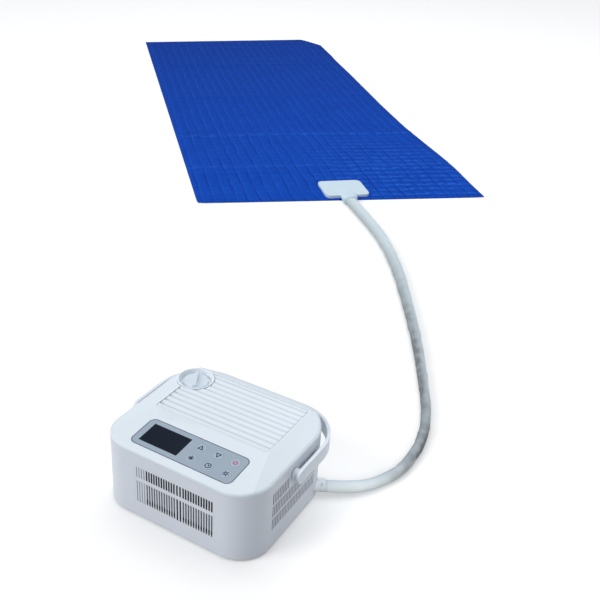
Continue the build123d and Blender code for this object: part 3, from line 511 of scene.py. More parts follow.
@dataclass(frozen=True)
class Metal:
    """A drawn or rolled metal with fine lines along one axis."""

    name: str
    colour: Colour
    roughness: float = 0.35
    lines: Point = (20.0, 20.0, 1800.0)
    line_depth: float = 0.00003
    dull: float = 0.82
    smoother: float = 0.08
    rougher: float = 0.1
    edge: float = 0.0003

    def make(self) -> bpy.types.Material:
        """Builds the material.

        Returns:
            The finished material.
        """
        bench = Bench(self.name, self.colour, self.roughness)
        bench.set("Metallic", 1.0)
        streak = bench.noise(1.0, 3.0, bench.stretched(self.lines))
        bench.paint(bench.blend(streak, shaded(self.colour, self.dull), self.colour))
        bench.roughen(streak, self.roughness - self.smoother, self.roughness + self.rougher)
        bench.relief(streak, self.line_depth, self.edge)
        return bench.material


@dataclass(frozen=True)
class CircuitBoard:
    """A lacquered board with faint copper lines under the lacquer."""

    name: str
    colour: Colour
    trace: Colour
    roughness: float = 0.35
    cells: float = 260.0
    line_edge: Pair = (0.45, 0.55)
    line_depth: float = 0.00004

    def make(self) -> bpy.types.Material:
        """Builds the material.

        Returns:
            The finished material.
        """
        bench = Bench(self.name, self.colour, self.roughness)
        cells = bench.add("ShaderNodeTexVoronoi", Scale=self.cells)
        cells.distance = "MANHATTAN"
        cells.feature = "F1"
        bench.join(bench.place, cells.inputs["Vector"])
        lines = bench.spread(cells.outputs["Distance"], 1.0, 0.0, *self.line_edge)
        bench.paint(bench.blend(lines, self.colour, self.trace))
        bench.relief(lines, self.line_depth)
        return bench.material


@dataclass(frozen=True)
class Cloth:
    """A woven cloth whose threads run along the piece's own UV map."""

    name: str
    colour: Colour
    shade: Colour
    threads: float
    thread_depth: float
    roughness: float = 0.8
    sheen: float = 0.25
    sheen_roughness: float = 0.5
    gloss: float = 0.25
    slant: float = 0.0
    clouds: float = 9.0
    gap_shade: float = 0.72
    gap_share: float = 0.35
    gap_edge: Pair = (0.1, 0.6)
    fuzz: float = 900.0
    fuzz_height: float = 0.4

    def make(self) -> bpy.types.Material:
        """Builds the material.

        Returns:
            The finished material.
        """
        bench = Bench(self.name, self.colour, self.roughness)
        bench.set("Sheen Weight", self.sheen)
        bench.set("Sheen Roughness", self.sheen_roughness)
        bench.set("Sheen Tint", (*self.colour, 1.0))
        bench.set("Specular IOR Level", self.gloss)
        flat = bench.add("ShaderNodeUVMap").outputs["UV"]
        turned = bench.add("ShaderNodeMapping", Rotation=(0.0, 0.0, self.slant))
        bench.join(flat, turned.inputs["Vector"])
        place = bench.axes(turned.outputs["Vector"])
        weave = bench.times(bench.sum("ADD", self._thread(bench, place["X"]), self._thread(bench, place["Y"])), 0.5)
        cloudy = bench.spread(bench.noise(self.clouds, 3.0), 0.0, 1.0)
        colour = bench.blend(cloudy, self.shade, self.colour)
        gaps = bench.spread(weave, self.gap_share, 0.0, *self.gap_edge)
        colour = bench.blend(gaps, colour, shaded(self.colour, self.gap_shade))
        bench.paint(self._worked(bench, flat, colour))
        fuzz = bench.times(bench.noise(self.fuzz, 2.0), self.fuzz_height)
        bench.relief(bench.sum("ADD", weave, fuzz), self.thread_depth)
        return bench.material

    def _thread(self, bench: Bench, along: Socket) -> Socket:
        """Makes the rounded tops of threads that cross one direction.

        Args:
            bench: The material's bench.
            along: The coordinate that counts the threads.

        Returns:
            A wave from 0 to 1.
        """
        wave = bench.sum("SINE", bench.times(along, 2.0 * math.pi * self.threads), 0.0)
        return bench.spread(wave, 0.0, 1.0, -1.0, 1.0)

    def _worked(self, bench: Bench, flat: Socket, colour: Socket) -> Socket:
        """Adds nothing to the plain cloth; a worked cloth adds its painted light and shade and its other marks here.

        Args:
            bench: The material's bench.
            flat: The piece's UV map, in metres.
            colour: The colour so far.

        Returns:
            The finished colour.
        """
        return colour


@dataclass(frozen=True)
class Patches:
    """Uneven patches that break sewn lines into strokes or dashes."""

    scale: Point
    least: float
    edge: Pair

    def share(self, bench: Bench, flat: Socket) -> Socket:
        """Makes the patches.

        Args:
            bench: The material's bench.
            flat: The piece's UV map, in metres.

        Returns:
            A value from the least share to 1.
        """
        return bench.spread(bench.noise(1.0, 2.0, bench.stretched(self.scale, flat)), self.least, 1.0, *self.edge)


@dataclass(frozen=True)
class QuiltedCloth(Cloth):
    """A cloth sewn down in rows and channels, with painted light on its ridges and painted shade in its seams.

    A set of lines says where the first one lies, how far its softness reaches and its share in the middle. Rows
    run across the cloth and channels along it. Where a seam is pulled in firmly is given from the near edge, and
    as shares of the width from the left.
    """

    channel: float = 0.033
    row: float = 0.034
    width: float = 0.8
    # Painted light on the ridges and folds, and painted shade in the seams.
    ridge: Colour = (0.020, 0.125, 0.62)
    seam: Colour = (0.0035, 0.024, 0.20)
    fade: tuple[Point, Point, Colour] = ((0.0, 0.0, 0.0), (0.0, 1.0, 0.0), (0.0, 0.0, 0.0))
    channel_seam_shade: Point = (0.0, 0.0042, 0.70)
    channel_highlights: Point = (0.0065, 0.0045, 0.22)
    row_seam_shade: Point = (0.0, 0.0030, 0.5)
    row_highlights: Point = (0.0105, 0.0065, 1.0)
    folds: tuple[float, ...] = (0.262, 0.556)
    fold_highlight: Pair = (0.012, 0.45)
    strokes: Patches = Patches((70.0, 9.0, 1.0), 0.15, (0.36, 0.62))
    dashes: Patches = Patches((42.0, 60.0, 1.0), 0.10, (0.38, 0.60))
    wander: float = 0.0035
    wander_across: float = 11.0
    wander_along: float = 17.0
    far_seams: float = 0.45
    far_edge: Pair = (0.05, 1.0)
    firm_near: Pair = (0.27, 0.56)
    firm_right: Pair = (0.46, 0.62)
    firm_patches: float = 5.0
    firm_wander: float = 0.10
    least_firm: float = 0.12

    def _worked(self, bench: Bench, flat: Socket, colour: Socket) -> Socket:
        """Paints shade into the seams, paints light on the ridges and folds, and darkens the far end.

        Args:
            bench: The material's bench.
            flat: The piece's UV map, in metres.
            colour: The colour so far.

        Returns:
            The finished colour.
        """
        place = bench.axes(flat)
        across = self._wandering(bench, place["X"], self.wander_across)
        along = self._wandering(bench, place["Y"], self.wander_along)
        firm = self._firm(bench, place["X"], place["Y"])
        strokes = self.strokes.share(bench, flat)
        dashes = self.dashes.share(bench, flat)
        colour = self._faded(bench, colour)
        beside = bench.lines(across, self.channel, *self.channel_highlights)
        colour = bench.blend(bench.times(beside, strokes), colour, self.ridge)
        rows = bench.lines(along, self.row, *self.row_highlights)
        colour = bench.blend(bench.times(rows, dashes, firm), colour, self.ridge)
        for fold in self.folds:
            band = bench.lines(along, LONE_LINE, fold, *self.fold_highlight)
            colour = bench.blend(bench.times(band, dashes), colour, self.ridge)
        colour = bench.blend(bench.times(bench.lines(along, self.row, *self.row_seam_shade), firm), colour, self.seam)
        seams = bench.lines(across, self.channel, *self.channel_seam_shade)
        near = bench.spread(place["Y"], 1.0, self.far_seams, *self.far_edge)
        return bench.blend(bench.times(seams, strokes, near), colour, self.seam)

    def _wandering(self, bench: Bench, along: Socket, scale: float) -> Socket:
        """Lets a coordinate wander a little, as sewn lines do.

        Args:
            bench: The material's bench.
            along: The straight coordinate.
            scale: How many times it wanders in a metre.

        Returns:
            The wandering coordinate.
        """
        slow = bench.spread(bench.noise(scale, 2.0), -self.wander, self.wander, 0.25, 0.75)
        return bench.sum("ADD", along, slow)

    def _faded(self, bench: Bench, colour: Socket) -> Socket:
        """Darkens the cloth towards its far end.

        Args:
            bench: The material's bench.
            colour: The colour so far.

        Returns:
            The colour with its fade.
        """
        start, end, far = self.fade
        way = Vector(end) - Vector(start)
        dot = bench.tree.nodes.new("ShaderNodeVectorMath")
        dot.operation = "DOT_PRODUCT"
        bench.join(bench.place, dot.inputs[0])
        dot.inputs[1].default_value = way.normalized()
        first = Vector(start).dot(way.normalized())
        share = bench.spread(dot.outputs["Value"], 0.0, 1.0, first, first + way.length)
        return bench.blend(share, colour, far)

    def _firm(self, bench: Bench, across: Socket, along: Socket) -> Socket:
        """Tells how firmly the seams across are pulled in, most at the near right.

        Args:
            bench: The material's bench.
            across: Distance from the left seam.
            along: Distance from the near seam.

        Returns:
            A share from 0 to 1.
        """
        patchy = bench.spread(bench.noise(self.firm_patches, 2.0), -self.firm_wander, self.firm_wander)
        near = bench.spread(bench.sum("ADD", along, patchy), 1.0, 0.0, *self.firm_near)
        start, end = (share * self.width for share in self.firm_right)
        right = bench.spread(bench.sum("ADD", across, patchy), 0.0, 1.0, start, end)
        return bench.sum("ADD", bench.times(near, right, 1.0 - self.least_firm), self.least_firm)


@dataclass(frozen=True)
class SleeveCloth(Cloth):
    """The hose's sleeve, with painted light on its right side and painted shade over its top near the unit, painted
    shade down its left side, and a grey middle stretch, grey all round at the bend and painted shade on its left
    further on.

    Places along the hose are from the unit. Places round it are from its right side, over its top to its left.
    """

    # Painted shade down the sleeve's left side.
    left: Colour = (0.47, 0.55, 0.58)
    left_shade_edge: Pair = (0.008, 0.028)
    # Painted light on the right side near the unit, and painted shade over the top.
    near_lit_side: Colour = (0.92, 0.99, 1.0)
    near_shaded_top: Colour = (0.69, 0.78, 0.86)
    top_edge: Pair = (0.005, 0.019)
    near_paint_edge: Pair = (0.08, 0.22)
    # The middle stretch's grey, which is painted shade on the left after the turn.
    grey: Colour = (0.175, 0.19, 0.205)
    turn_edge: Pair = (0.23, 0.37)
    near_least: float = 0.70
    near_edge: Pair = (0.006, 0.020)
    far_least: float = 0.02
    far_edge: Pair = (0.006, 0.023)
    starts: Pair = (0.05, 0.18)
    ends: Pair = (0.50, 1.02)
    blotches: float = 42.0
    blotch_least: float = 0.70
    blotch_edge: Pair = (0.38, 0.56)

    def _worked(self, bench: Bench, flat: Socket, colour: Socket) -> Socket:
        """Paints shade down the sleeve's left side and light and shade across it near the unit, and greys it along
        its middle stretch.

        Args:
            bench: The material's bench.
            flat: The piece's UV map, in metres.
            colour: The colour so far.

        Returns:
            The finished colour.
        """
        place = bench.axes(flat)
        along = place["X"]
        around = bench.sum("ABSOLUTE", place["Y"], 0.0)
        colour = bench.blend(bench.spread(around, 0.0, 1.0, *self.left_shade_edge), colour, self.left)
        near_light_and_shade = bench.blend(bench.spread(around, 0.0, 1.0, *self.top_edge), self.near_lit_side, self.near_shaded_top)
        colour = bench.blend(bench.spread(along, 1.0, 0.0, *self.near_paint_edge), colour, near_light_and_shade)
        grey = self._grey_share(bench, along, around)
        starts = bench.spread(along, 0.0, 1.0, *self.starts)
        ends = bench.spread(along, 1.0, 0.0, *self.ends)
        blotch = bench.spread(bench.noise(self.blotches, 3.0), self.blotch_least, 1.0, *self.blotch_edge)
        return bench.blend(bench.times(grey, bench.times(starts, ends, blotch)), colour, self.grey)

    def _grey_share(self, bench: Bench, along: Socket, around: Socket) -> Socket:
        """Tells how grey the sleeve is, most on its right side near the unit and on its left further on, where the
        grey is painted shade.

        Args:
            bench: The material's bench.
            along: Distance from the unit.
            around: Distance round the sleeve.

        Returns:
            A share from 0 to 1.
        """
        near = bench.spread(around, 1.0, self.near_least, *self.near_edge)
        far = bench.spread(around, self.far_least, 1.0, *self.far_edge)
        before = bench.spread(along, 1.0, 0.0, *self.turn_edge)
        after = bench.spread(along, 0.0, 1.0, *self.turn_edge)
        return bench.sum("ADD", bench.times(far, after), bench.times(near, before))


class Finish(Enum):
    """The finishes of this object's pieces."""

    SHELL = Plastic("white shell plastic", (0.74, 0.78, 0.86), 0.42, mottle=0.015, edge=0.0008, gloss=0.3,
                    crevice_shade=0.003)
    COVER = Plastic("white cover plastic", (0.74, 0.81, 0.88), 0.38, mottle=0.015, edge=0.0012, gloss=0.35,
                    crevice_shade=0.0025)
    LOUVRE = LouvrePlastic("white louvre plastic", (0.75, 0.82, 0.89), 0.42, mottle=0.015, edge=0.0005, gloss=0.3,
                           crevice_shade=0.004)
    # The grilles' slots hold painted shade.
    GRILLE = FrontGrillePlastic("white grille plastic", (0.74, 0.78, 0.86), 0.42, mottle=0.015, edge=0.0004,
                                gloss=0.3, dark=(0.016, 0.019, 0.024))
    SIDE_GRILLE = SlottedPlastic("white side grille plastic", (0.74, 0.78, 0.86), 0.42, mottle=0.015, edge=0.0004,
                                 gloss=0.3)
    # The filler's plastic is made paler than the cover's as painted light, so that its shaded dish reads as light as
    # the cover.
    DISH = Plastic("pale filler plastic", (0.86, 0.92, 0.98), 0.38, mottle=0.015, edge=0.0010, gloss=0.35,
                   crevice_shade=0.0012)
    OUTLET = Plastic("pale outlet plastic", (0.84, 0.90, 0.94), 0.42, mottle=0.02, edge=0.0008, gloss=0.3,
                     crevice_shade=0.002)
    # Dark strips laid along seams as painted shade.
    SEAM = Plastic("shade in a seam", (0.20, 0.225, 0.26), 0.7, mottle=0.1, edge=0.0, gloss=0.1)
    PALE_SEAM_SHADE = Plastic("faint shade in a seam", (0.40, 0.44, 0.50), 0.7, mottle=0.1, edge=0.0, gloss=0.1)
    HANDLE = Plastic("white handle plastic", (0.74, 0.80, 0.87), 0.36, mottle=0.015, edge=0.0014, gloss=0.35,
                     crevice_shade=0.003)
    CONNECTOR = Plastic("pale blue connector plastic", (0.575, 0.71, 0.81), 0.45, mottle=0.03, edge=0.0012, gloss=0.2,
                        crevice_shade=0.003)
    INNER = Plastic("grey inner plastic", (0.22, 0.235, 0.25), 0.55)
    PANEL = Plastic("grey panel film", (0.335, 0.412, 0.495), 0.45, grain=5200.0, grain_depth=0.00001, edge=0.0002,
                    gloss=0.25)
    KEY = Plastic("grey key film", (0.37, 0.45, 0.55), 0.45, grain=5200.0, grain_depth=0.00001, edge=0.0004,
                  gloss=0.25)
    BORDER = Plastic("dark panel border", (0.07, 0.09, 0.13), 0.45, edge=0.0003, gloss=0.3)
    DISPLAY = Plastic("dark display window", (0.006, 0.011, 0.023), 0.2, grain_depth=0.0, gloss=0.05)
    BLACK = Plastic("black inner plastic", (0.02, 0.02, 0.022), 0.5)
    CERAMIC = Plastic("white ceramic", (0.85, 0.85, 0.82), 0.5)
    RUBBER = Plastic("soft dark rubber", (0.03, 0.03, 0.032), 0.85, grain=900.0, grain_depth=0.00005)
    INK = Plastic("dark key print", (0.018, 0.026, 0.05), 0.5, edge=0.0, gloss=0.1)
    RED_INK = Plastic("pink power print", (0.50, 0.08, 0.14), 0.5, edge=0.0, gloss=0.1)
    PALE_INK = Plastic("pale key ring", (0.54, 0.62, 0.71), 0.45, edge=0.0, gloss=0.2)
    CLEAR = ClearPlastic("clear cap plastic", (0.80, 0.89, 0.98), 0.2, 0.16)
    TUBE = ClearPlastic("clear silicone", (0.85, 0.9, 0.93), 0.35, 0.35)
    ALUMINIUM = Metal("drawn aluminium", (0.72, 0.73, 0.76))
    FINS = Metal("dark anodised fins", (0.07, 0.075, 0.08), 0.5)
    STEEL = Metal("plated steel", (0.55, 0.56, 0.58), 0.3, (1500.0, 30.0, 30.0))
    BOARD = CircuitBoard("green circuit board", (0.02, 0.12, 0.06), (0.05, 0.22, 0.1))


CAD_FINISHES = {
    Finish.SHELL: ("body_shell",),
    Finish.GRILLE: ("front_grille",),
    Finish.SIDE_GRILLE: ("left_grille", "right_grille"),
    Finish.OUTLET: ("hose_outlet",),
    Finish.COVER: ("top_cover",),
    Finish.DISH: ("filler_dish", "cap_plug"),
    Finish.CONNECTOR: ("connector_cover", "connector_base", "hose_collar"),
    Finish.LOUVRE: ("louvre_panel",),
    Finish.HANDLE: ("carry_handle", "handle_pins"),
    Finish.INNER: ("base_pan", "water_tank", "tank_lid", "pump_housing", "pump_cover", "pump_impeller",
                   "fan_frame_left", "fan_frame_right", "hose_manifold", "power_inlet"),
    Finish.PANEL: ("control_panel",),
    Finish.KEY: ("key_up", "key_down", "key_power", "key_mode", "key_timer", "key_light"),
    Finish.BORDER: ("panel_border",),
    Finish.DISPLAY: ("display_window",),
    Finish.BLACK: ("display_module", "key_switches", "fan_rotor_left", "fan_rotor_right"),
    Finish.CERAMIC: ("cooling_tile_left", "cooling_tile_right"),
    Finish.RUBBER: ("rubber_feet", "cap_seal"),
    Finish.CLEAR: ("cap_knob",),
    Finish.TUBE: ("tube_tank_to_pump", "tube_pump_to_block", "tube_block_to_block",
                  "tube_block_to_hose", "tube_hose_to_tank"),
    Finish.ALUMINIUM: ("water_block_left", "water_block_right"),
    Finish.FINS: ("heat_sink_left", "heat_sink_right"),
    Finish.STEEL: ("housing_screws", "board_screws", "connector_screws", "power_shield"),
    Finish.BOARD: ("control_board", "power_board"),
}


class Materials:
    """Makes each finish once and hands it out."""

    def __init__(self) -> None:
        """Starts with no material made."""
        self._made: dict[str, bpy.types.Material] = {}

    def of(self, finish: Finish | Cloth) -> bpy.types.Material:
        """Gives the material of a finish.

        Args:
            finish: A finish of this object.

        Returns:
            Its material, made on first use.
        """
        recipe = finish.value if isinstance(finish, Finish) else finish
        if recipe.name not in self._made:
            self._made[recipe.name] = recipe.make()
        return self._made[recipe.name]

    def dress_node(self, node: str, finish: Finish) -> None:
        """Puts a finish on every slot of a CAD node.

        Args:
            node: The CAD node's name.
            finish: The finish it gets.
        """
        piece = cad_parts[node]
        if not piece.material_slots:
            piece.data.materials.append(self.of(finish))
        for place in piece.material_slots:
            place.material = self.of(finish)


def mesh_piece(name: str, points: np.ndarray, faces: Sequence[Sequence[int]],
               smooth: bool = True) -> bpy.types.Object:
    """Makes a mesh object.

    Args:
        name: The piece's name.
        points: Its points in metres.
        faces: Its faces, as lists of point numbers.
        smooth: Whether it is shaded smooth.

    Returns:
        The new object, linked to the scene.
    """
    mesh = bpy.data.meshes.new(name)
    mesh.from_pydata([tuple(map(float, point)) for point in points], [], [list(map(int, face)) for face in faces])
    mesh.polygons.foreach_set("use_smooth", [smooth] * len(mesh.polygons))
    mesh.update()
    piece = bpy.data.objects.new(name, mesh)
    bpy.context.scene.collection.objects.link(piece)
    return piece


def map_cloth(piece: bpy.types.Object, places: np.ndarray) -> None:
    """Gives a mesh a UV map in metres.

    Args:
        piece: The mesh object.
        places: Two numbers for each point of the mesh.
    """
    layer = piece.data.uv_layers.new(name="cloth")
    corners = np.zeros(len(piece.data.loops), dtype=np.int32)
    piece.data.loops.foreach_get("vertex_index", corners)
    layer.data.foreach_set("uv", places[corners].astype(np.float32).ravel())


def grid_faces(rows: int, columns: int, first: int = 0, flip: bool = False) -> list[tuple[int, ...]]:
    """Lists the faces of a grid of points.

    Args:
        rows: Rows of points.
        columns: Points in each row.
        first: Number of the grid's first point.
        flip: Whether the faces look the other way.

    Returns:
        One tuple of four point numbers for each face.
    """
    faces = []
    for row in range(rows - 1):
        for column in range(columns - 1):
            corner = first + row * columns + column
            face = (corner, corner + 1, corner + columns + 1, corner + columns)
            faces.append(face[::-1] if flip else face)
    return faces


def tube_faces(rings: int, sides: int) -> list[tuple[int, ...]]:
    """Lists the faces of a closed tube of rings, with its two end caps.

    Args:
        rings: Number of rings.
        sides: Points in each ring.

    Returns:
        One tuple of point numbers for each face.
    """
    faces = []
    for row in range(rings - 1):
        for column in range(sides):
            after = (column + 1) % sides
            faces.append((row * sides + column, row * sides + after,
                          (row + 1) * sides + after, (row + 1) * sides + column))
    last = (rings - 1) * sides
    return [*faces, tuple(range(sides))[::-1], tuple(range(last, last + sides))]


@dataclass(frozen=True)
class Panel:
    """A square lamp."""

    name: str
    power: float
    size: float
    spread: float
    place: Point
    target: Point


@dataclass
class Studio:
    """The floor, the lamps and the camera."""

    eye: Point = (0.5694, -0.8428, 0.8874)
    heading: Pair = (-0.5177, 0.8555)
    pitch: float = 28.61
    roll: float = 2.06
    lens: float = 51.02
    film: float = 36.0
    shift: Pair = (0.0707, -0.001)
    sight: float = 60.0
    floor_reach: float = 14.0
    floor_bounce: float = 0.50
    floor_seen: float = 0.9
    floor_glow: float = 0.2
    floor_roughness: float = 0.95
    sky: float = 0.47
    sky_seen: float = 1.0
    sky_colour: Colour = (0.93, 0.965, 1.0)
    key_place: Point = (-1.95, -2.65, 2.06)
    key_strength: float = 1.36
    key_spread: float = 0.6
    key_colour: Colour = (1.0, 0.99, 0.97)
    panels: tuple[Panel, ...] = (
        Panel("top_lamp", 54.0, 3.2, 180.0, (-0.6, 1.6, 3.6), (-0.6, 1.2, 0.0)),
        Panel("side_lamp", 5.0, 2.0, 180.0, (2.4, 1.6, 1.5), (0.0, 0.5, 0.0)),
        Panel("hose_lamp", 0.055, 0.25, 40.0, (0.46, -0.10, 0.26), (0.21, 0.125, 0.0)),
    )

    def build(self) -> None:
        """Makes the camera, floor, lamps and sky."""
        self._camera()
        self._floor()
        self._lamps()
        self._sky()
        bpy.context.scene.view_settings.view_transform = "Standard"
        LOG.info("studio ready")

    def _camera(self) -> None:
        """Puts the camera where the picture was taken from."""
        lens = bpy.data.cameras.new("camera")
        lens.lens = self.lens
        lens.sensor_width = self.film
        lens.shift_x, lens.shift_y = self.shift
        lens.clip_end = self.sight
        camera = bpy.data.objects.new("camera", lens)
        bpy.context.scene.collection.objects.link(camera)
        tilt = math.radians(self.pitch)
        level = Vector((*self.heading, 0.0)).normalized()
        forward = level * math.cos(tilt) - Vector((0.0, 0.0, math.sin(tilt)))
        side = forward.cross(Vector((0.0, 0.0, 1.0))).normalized()
        above = side.cross(forward)
        roll = math.radians(self.roll)
        right = side * math.cos(roll) + above * math.sin(roll)
        up = above * math.cos(roll) - side * math.sin(roll)
        turn = Matrix((right, up, -forward)).transposed().to_4x4()
        camera.matrix_world = Matrix.Translation(Vector(self.eye)) @ turn
        bpy.context.scene.camera = camera

    def _floor(self) -> None:
        """Lays a pale floor that still takes the object's shadow."""
        reach = self.floor_reach
        corners = np.array([(-reach, -reach, 0), (reach, -reach, 0), (reach, reach, 0), (-reach, reach, 0)])
        floor = mesh_piece("studio_floor", corners, [(0, 1, 2, 3)], smooth=False)
        bench = Bench("pale floor", (self.floor_seen,) * 3, self.floor_roughness)
        bench.set("Specular IOR Level", 0.0)
        path = bench.add("ShaderNodeLightPath").outputs
        mirrored = bench.sum("MAXIMUM", path["Is Glossy Ray"], path["Is Transmission Ray"])
        seen = bench.sum("MAXIMUM", path["Is Camera Ray"], mirrored)
        bench.paint(bench.blend(seen, (self.floor_bounce,) * 3, (self.floor_seen,) * 3))
        bench.set("Emission Color", (1.0, 1.0, 1.0, 1.0))
        bench.join(bench.times(seen, self.floor_glow), bench.shader.inputs["Emission Strength"])
        floor.data.materials.append(bench.material)

    def _hang(self, light: bpy.types.Light, place: Point, target: Point) -> None:
        """Hangs a lamp and points it.

        Args:
            light: The lamp's light.
            place: Where it stands.
            target: What it points at.
        """
        lamp = bpy.data.objects.new(light.name, light)
        bpy.context.scene.collection.objects.link(lamp)
        lamp.visible_camera = False
        lamp.location = place
        lamp.rotation_mode = "QUATERNION"
        lamp.rotation_quaternion = (Vector(target) - Vector(place)).to_track_quat("-Z", "Y")

    def _lamps(self) -> None:
        """Hangs a soft key at the front left, and the panels overhead, at the right and over the hose."""
        key = bpy.data.lights.new("key_lamp", "SUN")
        key.energy = self.key_strength
        key.angle = self.key_spread
        key.color = self.key_colour
        self._hang(key, self.key_place, (0.0, 0.0, 0.0))
        for panel in self.panels:
            light = bpy.data.lights.new(panel.name, "AREA")
            light.size = panel.size
            light.energy = panel.power
            light.spread = math.radians(panel.spread)
            self._hang(light, panel.place, panel.target)

    def _sky(self) -> None:
        """Sets an even pale sky, which is nearly white where it is seen, mirrored or looked through."""
        world = bpy.data.worlds.new("pale sky")
        bpy.context.scene.world = world
        world.use_nodes = True
        tree = world.node_tree
        backdrop = tree.nodes["Background"]
        backdrop.inputs["Color"].default_value = (*self.sky_colour, 1.0)
        path = tree.nodes.new("ShaderNodeLightPath").outputs
        seen = path["Is Camera Ray"]
        for ray in ("Is Glossy Ray", "Is Transmission Ray"):
            either = tree.nodes.new("ShaderNodeMath")
            either.operation = "MAXIMUM"
            tree.links.new(seen, either.inputs[0])
            tree.links.new(path[ray], either.inputs[1])
            seen = either.outputs["Value"]
        strength = tree.nodes.new("ShaderNodeMapRange")
        strength.inputs["To Min"].default_value = self.sky
        strength.inputs["To Max"].default_value = self.sky_seen
        tree.links.new(seen, strength.inputs["Value"])
        tree.links.new(strength.outputs["Result"], backdrop.inputs["Strength"])


# The points that guide the hose's line, from the outlet to the pad.
HOSE_ROUTE: tuple[Point, ...] = (
    (0.144, 0.080, 0.0175), (0.165, 0.093, 0.0158), (0.192, 0.120, 0.0125), (0.208, 0.145, 0.0112),
    (0.225, 0.190, 0.0110), (0.224, 0.271, 0.0110), (0.200, 0.354, 0.0110), (0.153, 0.449, 0.0110),
    (0.090, 0.570, 0.0110), (0.012, 0.704, 0.0110), (-0.077, 0.851, 0.0110), (-0.1755, 0.9845, 0.0110),
    (-0.278, 1.088, 0.0110), (-0.354, 1.161, 0.0120),
)

# Distances from the unit, with half the sleeve's width there.
HOSE_WIDTHS: tuple[Pair, ...] = (
    (0.0, 0.0094), (0.10, 0.0090), (0.22, 0.0087), (0.35, 0.0089), (0.50, 0.0100), (0.70, 0.0118),
    (0.85, 0.0132), (1.00, 0.0140), (1.15, 0.0150), (1.25, 0.0157), (1.30, 0.0157),
)


